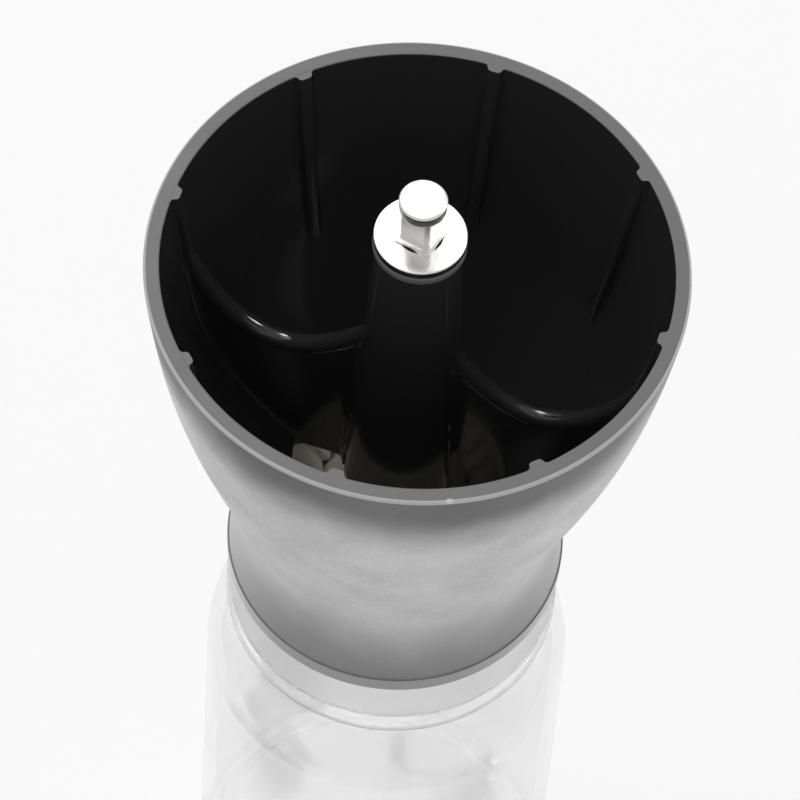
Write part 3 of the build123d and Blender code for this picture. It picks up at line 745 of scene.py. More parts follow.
def cad_copy(node: str, break_width: float = 0.0) -> bpy.types.Mesh:
    """A merged copy of a CAD node's mesh, with its edges broken.

    Args:
        node: The CAD node's name.
        break_width: The width of the broken edges in millimetres.

    Returns:
        A plain mesh.
    """
    mesh = cad_node(node).data.copy()
    work = bmesh.new()
    work.from_mesh(mesh)
    bmesh.ops.remove_doubles(work, verts=work.verts, dist=CAD_SEAM)
    bmesh.ops.dissolve_limit(work, angle_limit=FLAT_ANGLE, verts=work.verts, edges=work.edges)
    if break_width:
        sharp = [edge for edge in work.edges if len(edge.link_faces) == 2
                 and edge.calc_face_angle(0) > BREAK_ANGLE]
        bmesh.ops.bevel(work, geom=sharp, offset=break_width * MM, offset_type="OFFSET", segments=2,
                        profile=0.5, affect="EDGES", clamp_overlap=True)
    work.to_mesh(mesh)
    work.free()
    return mesh


def piece(name: str, mesh: bpy.types.Mesh, body: Body, finishes: Sequence[Finish],
          replaces: Sequence[str] = (), crease: float = 40.0) -> bpy.types.Object:
    """Add a finished piece to the scene and tie it to the frame.

    Args:
        name: The piece's name.
        mesh: Its mesh, in metres.
        body: The body it moves with.
        finishes: One finish for each surface index.
        replaces: The CAD nodes that it stands for.
        crease: Edges sharper than this many degrees stay sharp.

    Returns:
        The piece's object.
    """
    thing = placed(name, mesh)
    surfaces = [face.material_index for face in mesh.polygons]
    mesh.materials.clear()
    for finish in finishes:
        mesh.materials.append(finish.build())
    mesh.polygons.foreach_set("material_index", [min(i, len(finishes) - 1) for i in surfaces])
    mesh.shade_smooth()
    mesh.set_sharp_from_angle(angle=math.radians(crease))
    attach(thing, body.value)
    if replaces:
        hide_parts(*replaces)
    LOG.info("%s: %d faces on %s", name, len(mesh.polygons), body.value)
    return thing


def dress_cad(node: str, finish: Finish) -> None:
    """Give a CAD node that stays its finish."""
    thing = cad_node(node)
    for holder in thing.material_slots:
        holder.material = finish.build()
    if not thing.material_slots:
        thing.data.materials.append(finish.build())
    LOG.info("%s: CAD shape, %s", node, finish.name)


# ---- geometry nodes
@dataclass
class GeometryTree:
    """A Geometry Nodes tree whose sizes are named inputs."""

    name: str
    values: dict[str, object] = field(default_factory=dict)

    def __post_init__(self) -> None:
        """Make the empty tree with its geometry sockets."""
        self.tree = bpy.data.node_groups.new(self.name, "GeometryNodeTree")
        for way in ("INPUT", "OUTPUT"):
            self.tree.interface.new_socket("Geometry", in_out=way, socket_type="NodeSocketGeometry")
        self.start = self.tree.nodes.new("NodeGroupInput")
        self.end = self.tree.nodes.new("NodeGroupOutput")

    def size(self, name: str, value: object, kind: str = "NodeSocketFloat") -> Socket:
        """Add a named input with its value."""
        item = self.tree.interface.new_socket(name, in_out="INPUT", socket_type=kind)
        self.values[item.identifier] = value
        return self.start.outputs[name]

    def add(self, kind: str, inputs: dict | None = None, **settings: object) -> bpy.types.Node:
        """Add a node to the tree."""
        return add_node(self.tree, kind, inputs, **settings)

    def math(self, operation: str, *values: Socket | float) -> Socket:
        """A Math node's result."""
        return calc(self.tree, operation, *values)

    def mesh(self, geometry: Socket, base: bpy.types.Mesh, finish: Finish) -> bpy.types.Mesh:
        """Close the tree and turn what it makes from a base mesh into a plain mesh.

        Args:
            geometry: The socket that carries the result.
            base: The mesh that the tree starts from.
            finish: The finish of the whole result.

        Returns:
            A plain mesh.
        """
        real = self.add("GeometryNodeRealizeInstances", {"Geometry": geometry})
        coat = self.add("GeometryNodeSetMaterial", {"Geometry": real.outputs["Geometry"],
                        "Material": finish.build()})
        self.tree.links.new(coat.outputs["Geometry"], self.end.inputs["Geometry"])
        holder = placed(self.name, base)
        modifier = holder.modifiers.new(self.name, "NODES")
        modifier.node_group = self.tree
        for identifier, value in self.values.items():
            modifier[identifier] = value
        graph = bpy.context.evaluated_depsgraph_get()
        graph.update()
        result = bpy.data.meshes.new_from_object(holder.evaluated_get(graph))
        bpy.data.objects.remove(holder)
        return result


def grooved(name: str, base: bpy.types.Mesh, finish: Finish, count: int, depth: float, lean: float,
            share: float, low: float, high: float, fade: float = 0.4,
            skew: float = 0.0) -> bpy.types.Mesh:
    """Cut evenly spaced grooves into a turned mesh: teeth, flutes or a thread.

    Args:
        name: The tree's name.
        base: A closed turned mesh round the origin's axis.
        finish: The finish of the result.
        count: How many grooves go round; 1 with a lean makes a thread.
        depth: The grooves' depth in millimetres; below zero they stand out.
        lean: How many radians a groove turns for each millimetre of height.
        share: Each groove's share of its pitch.
        low: The height in millimetres at which the grooves start.
        high: The height at which they end.
        fade: The height over which they run out.
        skew: How far a groove's root leans to one side, from -1 to 1.

    Returns:
        A plain mesh.
    """
    tree = GeometryTree(name)
    grooves = tree.size("Groove count", float(count))
    cut = tree.size("Groove depth", depth * MM)
    twist = tree.size("Lean per metre", lean / MM)
    wide = tree.size("Groove share", share)
    bottom, top = tree.size("Lowest", low * MM), tree.size("Highest", high * MM)
    run_out = tree.size("Run out", fade * MM)
    root = tree.size("Root place", 0.5 + 0.5 * skew)
    place = tree.add("GeometryNodeInputPosition").outputs[0]
    axes = tree.add("ShaderNodeSeparateXYZ", {0: place})
    height = axes.outputs["Z"]
    flat = calc_vector(tree.tree, "MULTIPLY", place, (1, 1, 0)).outputs[0]
    outward = calc_vector(tree.tree, "NORMALIZE", flat).outputs[0]
    angle = tree.math("ARCTAN2", axes.outputs["Y"], axes.outputs["X"])
    turned_by = tree.math("ADD", angle, tree.math("MULTIPLY", height, twist))
    phase = tree.math("FRACT", tree.math("MULTIPLY_ADD", turned_by,
                                         tree.math("DIVIDE", grooves, FULL_TURN), 0.5))
    # 0 to 1 across the groove itself, with the land left outside that span
    land = tree.math("MULTIPLY_ADD", wide, -0.5, 0.5)
    across = tree.math("DIVIDE", tree.math("SUBTRACT", phase, land), wide)
    rise = tree.math("DIVIDE", across, root)
    fall = tree.math("DIVIDE", tree.math("SUBTRACT", 1.0, across),
                     tree.math("SUBTRACT", 1.0, root))
    wave = tree.math("MAXIMUM", tree.math("MINIMUM", rise, fall), 0.0)
    enter, leave = (remap(tree.tree, height, (end, tree.math(way, end, run_out)))
                    for end, way in ((bottom, "ADD"), (top, "SUBTRACT")))
    reach = tree.math("MULTIPLY", wave, tree.math("MULTIPLY", enter, leave))
    travel = tree.math("MULTIPLY", tree.math("MULTIPLY", reach, cut), -1.0)
    offset = tree.add("ShaderNodeVectorMath", {0: outward, "Scale": travel},
                      operation="SCALE").outputs[0]
    mask = tree.add("GeometryNodeInputNamedAttribute", {"Name": "grooved"}, data_type="BOOLEAN")
    moved = tree.add("GeometryNodeSetPosition", {"Geometry": tree.start.outputs["Geometry"],
                     "Selection": mask.outputs["Attribute"], "Offset": offset})
    return tree.mesh(moved.outputs["Geometry"], base, finish)


def mark_grooved(mesh: bpy.types.Mesh, inside: Callable[[float, float], bool]) -> bpy.types.Mesh:
    """Mark the points that grooves may move.

    Args:
        mesh: A turned mesh round the origin's axis.
        inside: Whether a radius and a height, in millimetres, may move.

    Returns:
        The same mesh.
    """
    marks = mesh.attributes.new("grooved", "BOOLEAN", "POINT")
    marks.data.foreach_set("value", [inside(math.hypot(v.co.x, v.co.y) / MM, v.co.z / MM)
                                     for v in mesh.vertices])
    return mesh


def ring_of(name: str, part: bpy.types.Mesh, count: int, finish: Finish) -> bpy.types.Mesh:
    """Repeat a part evenly round the upright axis.

    Args:
        name: The tree's name.
        part: The part at angle zero.
        count: How many there are.
        finish: Their finish.

    Returns:
        A plain mesh.
    """
    tree = GeometryTree(name)
    number = tree.size("Count", count, "NodeSocketInt")
    pitch = tree.size("Angle between", FULL_TURN / count)
    points = tree.add("GeometryNodePoints", {"Count": number, "Position": (0, 0, 0)})
    order = tree.add("GeometryNodeInputIndex").outputs[0]
    turn = tree.add("ShaderNodeCombineXYZ", {"Z": tree.math("MULTIPLY", order, pitch)}).outputs[0]
    spread = tree.add("GeometryNodeInstanceOnPoints", {"Points": points.outputs[0],
                      "Instance": tree.start.outputs["Geometry"], "Rotation": turn})
    return tree.mesh(spread.outputs["Instances"], part, finish)


# ---- finishes of this grinder
# Styrene-acrylonitrile from a spark-eroded tool: painted pale light in the middle, painted shade on
# the rim and collar, and a painted highlight on the rim's edge.
OUTSIDE = SmokedShell("eroded smoke styrene", "5F5F60", "6E6E6F", specular=0.2)
# The same shot's inner side, from a polished core: near black, with sharp highlights.
INSIDE = PolishedPlastic("polished smoke styrene", "2A2A2B")
# Clear copolyester from a polished tool: the thick ring shows, and the thin walls hardly do.
CLEAR = ClearResin("clear copolyester", "FFFFFF", roughness=0.14, body=0.4)
CLEAR_RING = ClearResin("clear copolyester, thick", "D8D8D8", roughness=0.35)
SMOKE_CLEAR = ClearResin("smoked copolyester", "6E6A69", roughness=0.05)
# Free-cutting stainless steel, turned bright.
BRIGHT = TurnedMetal("turned stainless steel", "E2E1DF")
STRIP = BrushedSteel("brushed stainless strip", "D2D1CF")
WIRE = DrawnSteel("drawn spring wire", "A9A9A8")
PUNCHED = DrawnSteel("punched stainless sheet", "C4C3C1", roughness=0.28)
BRASS = TurnedMetal("turned brass", "D2B06A", roughness=0.24)
# Alumina burrs: matt and off-white, with fine grey speckles.
CERAMIC = FiredCeramic("fired alumina", "E9E5DC", "D6D1C6")
NYLON = ErodedPlastic("moulded grey nylon", "5C5C5C", "646464", roughness=0.5)
BLACK = ErodedPlastic("satin black nylon", "26262A", "2D2D30", roughness=0.38)
SOFT_BLACK = ErodedPlastic("matt black knob", "232325", "2A2A2C", roughness=0.55)
SILICONE = ErodedPlastic("milky silicone", "C9C8C4", "D2D1CE", roughness=0.6)


# ---- hopper
@dataclass
class Hopper:
    """The flared hopper with its collar, bearing column, bridge and ribs, in millimetres.

    A pair such as flank holds a radius and a drop from the rim, unless its comment says otherwise.
    """

    height: float = 73.2
    rim_radius: float = 36.0
    rim_round: float = 0.5
    wall: float = 2.2
    shoulder: Point2 = (33.9, 16.0)
    flank: Point2 = (30.2, 32.0)
    taper: Point2 = (25.4, 48.0)
    waist: Point2 = (22.85, 62.0)
    collar_radius: float = 24.05
    lip_band: Point2 = (0.25, 2.8)  # how far it stands proud of the wall, and its height
    throat: Point2 = (15.2, 49.5)
    throat_lip: float = 2.0
    thread_bore: float = 21.3
    socket_height: float = 10.5
    housing: Point2 = (17.55, 19.15)  # inner and outer radius
    housing_proud: float = 0.9  # above the collar's foot
    rib_count: int = 8
    rib_width: float = 2.0
    rib_depth: float = 0.9
    rib_nose: float = 0.55
    rib_flare: float = 0.5
    rib_bury: Point2 = (1.0, 0.9)  # how far its root runs into the wall and spreads there
    rib_ends: Point2 = (0.2, 0.03)  # how far it stops short of the flank's point and of the rim
    rib_levels: int = 24
    rib_top: float = 0.9  # a rib's faces that point up more than this take the outer finish
    web: float = 2.2
    web_fillet: float = 1.4
    web_bury: float = 0.6
    web_levels: int = 24
    crest_start: float = 18.5  # drop from the rim
    crest_low: Point2 = (18.0, 28.0)
    crest_end: Point2 = (32.8, 10.0)
    crest_steps: int = 60
    bead_radius: float = 1.35
    bead_facets: int = 20
    bead_fade: int = 8  # the crest's last steps, over which the bead closes
    column_radius: float = 5.7  # at its top
    column_flare: float = 2.3
    column_bore: float = 3.7
    column_steps: int = 96
    bush_seat: Point2 = (4.65, 9.0)  # radius and depth
    steps: int = 192

    def __post_init__(self) -> None:
        """Read the heights from the frame."""
        self.foot, self.top = heights("hopper_body")
        self.rim = self.foot + self.height
        self.throat_top = self.rim - self.throat[1]
        self.ceiling = self.throat_top - self.throat_lip
        self.inner = smooth_line([(self.rim_radius - self.wall, self.rim),
                                  (self.shoulder[0] - self.wall, self.rim - self.shoulder[1]),
                                  (self.flank[0] - self.wall, self.rim - self.flank[1]),
                                  (self.throat[0], self.throat_top)],
                                 (-0.1, -1), (-1.1, -1), steps=56)

    def wall_at(self, z: float) -> float:
        """The radius of the funnel's inner wall at a height."""
        line = np.array(self.inner[::-1])
        return float(np.interp(z, line[:, 1], line[:, 0]))

    def column_at(self, z: float) -> float:
        """The tapered column's radius at a height."""
        share = (self.top - z) / (self.top - self.ceiling)
        return self.column_radius + self.column_flare * share

    def shell(self) -> bpy.types.Mesh:
        """The outer form, collar, burr housing and funnel as one turned wall."""
        collar, socket = self.collar_radius, self.foot + self.socket_height
        lip, inside = self.foot + self.lip_band[1], Coat.SECOND
        inner, outer = self.housing
        rise = self.foot + self.housing_proud
        bends = [(r, self.rim - drop)
                 for r, drop in (self.shoulder, self.flank, self.taper, self.waist)]
        outside = smooth_line([(self.rim_radius, self.rim), *bends,
                               (collar - self.lip_band[0], lip)],
                              (-0.1, -1), (0.16, -1), steps=72)
        corners = [Corner(*outside[0], self.rim_round), *along(outside[1:-1]),
                   Corner(*outside[-1], 0.05), Corner(collar, lip, 0.12),
                   Corner(collar, self.foot, 0.3), Corner(self.thread_bore, self.foot, 0.2),
                   Corner(self.thread_bore, socket), Corner(outer, socket),
                   Corner(outer, rise, 0.2), Corner(inner, rise, 0.2),
                   Corner(inner, self.ceiling, 0.0, inside),
                   Corner(self.throat[0], self.ceiling, 0.3, inside),
                   Corner(*self.inner[-1], 0.8, inside), *along(self.inner[-2:0:-1], inside),
                   Corner(*self.inner[0], 0.25)]
        return turned("hopper shell", corners, self.steps)

    def column(self) -> bpy.types.Mesh:
        """The bearing column, tapered for the tool, with its bore and two bush seats."""
        seat, depth = self.bush_seat
        high, low = self.top - depth, self.ceiling + depth
        outline = ((self.column_at(self.ceiling), self.ceiling, 0.3),
                   (self.column_radius, self.top, 0.35), (seat, self.top, 0.15), (seat, high, 0.0),
                   (self.column_bore, high, 0.0), (self.column_bore, low, 0.0), (seat, low, 0.0),
                   (seat, self.ceiling, 0.15))
        return turned("bearing column", [Corner(*corner, Coat.SECOND) for corner in outline],
                      self.column_steps)

    def crest(self) -> list[Point2]:
        """The bridge's crest, from inside the column to the wall."""
        start = self.rim - self.crest_start
        bends = [(r, self.rim - drop) for r, drop in (self.crest_low, self.crest_end)]
        return smooth_line([(self.column_at(start) - self.bead_radius, start), *bends],
                           (0.7, -1), (0.15, 1), self.crest_steps)

    def bridge(self) -> bpy.types.Mesh:
        """One arm of the bridge: a web with fillets at its roots, and a bead along its crest."""
        fillet = self.web_fillet
        web_loops, bead_loops = [], []
        crest = self.crest()
        start = crest[0][0]
        for i, (r, z) in enumerate(crest):
            share = (r - start) / (self.wall_at(z) + self.web_bury - start)
            front, back = [], []
            for level in range(self.web_levels + 1):
                height = self.ceiling + (z - self.ceiling) * level / self.web_levels
                bore = self.wall_at(max(height, self.throat_top))
                x = start + share * (bore + self.web_bury - start)
                half = self.web / 2
                for gap in (x - self.column_at(height), bore - x):
                    near = min(max(fillet - gap, 0.0), fillet)
                    half += fillet - math.sqrt(fillet ** 2 - near ** 2)
                front.append((x, -half, height))
                back.append((x, half, height))
            web_loops.append(front + back[::-1])
            before, after = crest[max(i - 1, 0)], crest[min(i + 1, len(crest) - 1)]
            tangent = Vector((after[0] - before[0], after[1] - before[1])).normalized()
            left = len(crest) - 1 - i
            radius = self.bead_radius * math.sqrt(min(1.0, (left + 0.5) / self.bead_fade))
            bead_loops.append([(r - tangent.y * radius * math.cos(a), radius * math.sin(a),
                                z + tangent.x * radius * math.cos(a))
                               for a in (FULL_TURN * step / self.bead_facets
                                         for step in range(self.bead_facets))])
        arm = joined("bridge arm", [lofted("web", web_loops), lofted("bead", bead_loops)])
        arm.polygons.foreach_set("material_index", [Coat.SECOND] * len(arm.polygons))
        return arm

    def rib(self) -> bpy.types.Mesh:
        """One rib inside the rim: rounded nose, flared root, buried in the wall."""
        half, nose = self.rib_width / 2, self.rib_nose
        tip_top = self.rim_radius - self.wall - self.rib_depth
        tip_foot = self.flank[0] - self.wall
        loops = []
        for z in np.linspace(self.rim - self.flank[1] + self.rib_ends[0],
                             self.rim - self.rib_ends[1], self.rib_levels):
            share = (self.rim - z) / self.flank[1]
            tip = tip_top + (tip_foot - tip_top) * share
            root = self.wall_at(z)
            flare = min(self.rib_flare, max(root - tip, 0.02))
            side = [(root + self.rib_bury[0], -half - self.rib_bury[1]),
                    (root + 0.05, -half - flare), (root - 0.3 * flare, -half - 0.25 * flare)]
            for angle in np.linspace(0, math.pi / 2, 5):
                side.append((tip + nose * (1 - math.sin(angle)) * min(1.0, (root - tip) / nose),
                             -half + nose * (1 - math.cos(angle))))
            loops.append([(x, y, z) for x, y in side] + [(x, -y, z) for x, y in side[::-1]])
        return lofted("rim rib", loops)

    def build(self) -> None:
        """Make and dress the hopper's own pieces."""
        ribs = ring_of("rim ribs", self.rib(), self.rib_count, INSIDE)
        ribs.polygons.foreach_set("material_index",
                                  [Coat.SECOND if face.normal.z < self.rib_top else Coat.FIRST
                                   for face in ribs.polygons])
        arm = self.bridge()
        bridge = joined("bridge", [arm, spun(arm, math.pi)])
        for name, mesh, nodes in (("hopper_shell", self.shell(), ("hopper_body",)),
                                  ("hopper_ribs", ribs, ()), ("hopper_bridge", bridge, ()),
                                  ("hopper_column", self.column(), ())):
            piece(name, mesh, Body.HOPPER, (OUTSIDE, INSIDE), nodes)


# ---- jar
@dataclass
class Jar:
    """The clear jar: turned walls, threaded neck, stepped ring and rounded foot, in millimetres."""

    base_radius: float = 27.15
    body_radius: float = 26.55
    body_top: float = 73.0
    ring_radius: float = 23.95
    ring_height: float = 12.3
    bead_height: float = 4.3
    bead_proud: float = 0.3
    waist_inset: float = 0.7
    neck: Point2 = (19.45, 21.05)  # inner and outer radius
    neck_height: float = 9.0
    wall: float = 2.0
    floor: float = 4.0
    foot_groove: float = 3.0  # how far it lies inside the base's edge
    foot_groove_half: float = 0.4
    foot_groove_depth: float = 0.3
    thread_pitch: float = 3.0
    thread_proud: float = 0.2
    thread_start: float = 1.8  # above the shoulder
    thread_turns: float = 1.6
    thread_bury: Point2 = (0.3, 0.5)  # how deep its run-out and its root lie in the neck
    thread_fade: int = 10  # the steps over which each end runs out
    thread_steps: int = 96  # in one turn
    steps: int = 180

    def __post_init__(self) -> None:
        """Read the height of the shoulder that the neck stands on from the frame."""
        self.top = heights("jar")[1]
        self.shoulder = self.top - self.neck_height

    def body(self) -> bpy.types.Mesh:
        """The whole jar as one closed wall."""
        ring_foot = self.shoulder - self.ring_height
        bead_top = ring_foot + self.bead_height
        ring, (bore, neck) = self.ring_radius, self.neck
        lean = self.base_radius - self.body_radius
        groove = self.base_radius - self.foot_groove
        outside = smooth_line([(self.body_radius, self.body_top),
                               (ring - self.waist_inset, ring_foot)],
                              (-lean, self.body_top), (0, 1), steps=24)
        inside = smooth_line([(ring - self.wall, ring_foot),
                              (self.body_radius - self.wall, self.body_top)],
                             (0, -1), (lean, -self.body_top), steps=24)
        corners = [Corner(0, 0), Corner(groove, 0, 0.3),
                   Corner(groove - self.foot_groove_half, self.foot_groove_depth, 0.3),
                   Corner(groove + self.foot_groove_half, 0, 0.2),
                   Corner(self.base_radius, 0, 1.6), *along(outside[:-1]),
                   Corner(*outside[-1], 0.15, Coat.SECOND), Corner(ring, ring_foot, 0.25),
                   Corner(ring, bead_top, 0.25, Coat.SECOND),
                   Corner(ring - self.bead_proud, bead_top, 0.1, Coat.SECOND),
                   Corner(ring - self.bead_proud, self.shoulder, 0.35, Coat.SECOND),
                   Corner(neck, self.shoulder, 0.25), Corner(neck, self.top, 0.4),
                   Corner(bore, self.top, 0.4), Corner(bore, self.shoulder, 0.6),
                   Corner(ring - self.wall, self.shoulder - self.wall, 0.8), *along(inside),
                   Corner(self.base_radius - self.wall, self.floor, 2.2), Corner(0, self.floor)]
        return turned("jar", corners, self.steps, closed=False)

    def thread(self) -> bpy.types.Mesh:
        """The raised thread round the neck."""
        ends, root = self.thread_bury
        neck = self.neck[1]
        loops = []
        count = int(self.thread_turns * self.thread_steps)
        for step in range(count + 1):
            angle = FULL_TURN * step / self.thread_steps
            z = self.shoulder + self.thread_start + self.thread_pitch * step / self.thread_steps
            fade = min(1.0, step / self.thread_fade, (count - step) / self.thread_fade)
            proud = neck - ends + (ends + self.thread_proud - 0.02) * fade
            half = 0.2 + 0.45 * fade
            loops.append([(r * math.cos(angle), r * math.sin(angle), z + dz) for r, dz in
                          ((neck - root, -half - 0.3), (proud, -half * 0.5),
                           (proud, half * 0.5), (neck - root, half + 0.3))])
        return lofted("jar thread", loops)

    def build(self) -> None:
        """Make and dress the jar."""
        piece("jar_body", self.body(), Body.JAR, (CLEAR, CLEAR_RING), ("jar",))
        piece("jar_thread", self.thread(), Body.JAR, (CLEAR,))


# ---- spindle
@dataclass
class Spindle:
    """The keyed shaft with its washers, clip and spring, in millimetres."""

    radius: float = 3.0
    turn: float = math.radians(-13.0)
    head_radius: float = 3.2
    head_height: float = 1.8
    neck_radius: float = 2.9
    neck_flats: float = 4.5
    neck_height: float = 5.8
    neck_fillet: float = 0.25  # where the flats meet the shoulder
    neck_rings: tuple[float, ...] = (0.002, 0.06, 0.12, 0.18, 0.26, 0.8)  # above its foot
    shoulder_radius: float = 3.6
    shoulder_flats: float = 5.6
    shoulder_height: float = 0.5
    shoulder_break: float = 0.08
    drive_flats: float = 5.0
    drive_height: float = 17.0
    drive_edge: float = 2.9  # the drive's flats are cut outside this radius
    thread_radius: float = 2.45
    thread_length: float = 13.5
    thread_pitch: float = 0.8
    thread_depth: float = 0.42
    thread_rings: float = 0.08  # the height between two of its rings
    groove: Point2 = (1.6, 0.8)  # height above the shaft's foot, and width
    groove_depth: float = 0.6
    washer_play: float = 0.05
    washer_edge: float = 0.25
    clip_break: float = 0.08
    steps: int = 128

    def __post_init__(self) -> None:
        """Read the heights from the frame."""
        self.foot, self.top = heights("drive_shaft")
        self.head_foot = self.top - self.head_height
        self.neck_foot = self.head_foot - self.neck_height
        self.washer_top = self.neck_foot - self.shoulder_height
        self.drive_foot = self.foot + self.thread_length
        self.drive_top = self.drive_foot + self.drive_height

    def section(self, angle: float, r: float, z: float) -> float:
        """The shaft's radius with the flats of its neck, shoulder and drive."""
        if self.washer_top - HAIR < z < self.neck_foot + HAIR and r > self.neck_radius + 0.05:
            limit, flats = self.shoulder_flats / 2, 4
        elif self.neck_foot < z < self.head_foot - HAIR:
            near = max(0.0, self.neck_fillet - (z - self.neck_foot))
            fillet = self.neck_fillet - math.sqrt(self.neck_fillet ** 2 - near ** 2)
            limit, flats = self.neck_flats / 2 + fillet, 4
        elif self.drive_foot - HAIR < z < self.drive_top + HAIR and r > self.drive_edge:
            limit, flats = self.drive_flats / 2, 2
        else:
            return r
        return min(r, limit / math.cos(flat_distance(angle, self.turn + math.pi / 2, flats)))

    def shaft(self) -> bpy.types.Mesh:
        """The shaft, turned, with its flats milled and its foot threaded."""
        groove_foot, groove_top = self.foot + self.groove[0], self.foot + sum(self.groove)
        thin, wide, broken = self.thread_radius, self.shoulder_radius, self.shoulder_break
        thread = [Corner(thin, z)
                  for z in np.arange(groove_top + 0.05, self.drive_foot, self.thread_rings)]
        neck = [Corner(self.neck_radius, self.neck_foot + dz) for dz in self.neck_rings]
        corners = [Corner(0, self.foot), Corner(thin - self.groove_depth, self.foot),
                   Corner(thin, self.foot + self.groove_depth),
                   Corner(thin, groove_foot), Corner(thin - self.groove_depth, groove_foot),
                   Corner(thin - self.groove_depth, groove_top), Corner(thin, groove_top), *thread,
                   Corner(thin, self.drive_foot), Corner(self.radius, self.drive_foot, 0.1),
                   Corner(self.radius, self.drive_top), Corner(self.radius, self.drive_top + 0.001),
                   Corner(self.radius, self.washer_top), Corner(wide, self.washer_top),
                   Corner(wide, self.neck_foot - broken), Corner(wide - broken, self.neck_foot),
                   *neck, Corner(self.neck_radius, self.head_foot - 0.002),
                   Corner(self.head_radius, self.head_foot, 0.12),
                   Corner(self.head_radius, self.top, 0.4), Corner(0, self.top)]
        base = turned("shaft", corners, self.steps, closed=False, shape=self.section)
        mark_grooved(base, lambda r, z: groove_top + 0.1 < z < self.drive_foot - 0.1 and r > 2.0)
        return grooved("shaft thread", base, BRIGHT, 1, self.thread_depth,
                       FULL_TURN / self.thread_pitch, share=0.98, low=groove_top,
                       high=self.drive_foot)

    def washer(self) -> bpy.types.Mesh:
        """The thrust washer, faced and with its edge broken."""
        low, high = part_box("thrust_washer")
        outside, bore = (high[0] - low[0]) / 2 / MM, self.radius + self.washer_play
        foot, top = low[2] / MM, high[2] / MM
        corners = [Corner(bore, foot), Corner(outside, foot, 0.12),
                   Corner(outside, top, self.washer_edge), Corner(bore, top)]
        return turned("thrust washer", corners, self.steps)

    def build(self) -> None:
        """Make and dress the spindle's pieces."""
        piece("spindle_shaft", self.shaft(), Body.SPINDLE, (BRIGHT,),
              ("drive_shaft",), 30)
        piece("spindle_washer", self.washer(), Body.SPINDLE, (BRIGHT,),
              ("thrust_washer",))
        piece("spindle_clip", cad_copy("end_clip", self.clip_break), Body.SPINDLE,
              (WIRE,), ("end_clip",))
        dress_cad("spring_washer", PUNCHED)
        dress_cad("burr_spring", WIRE)


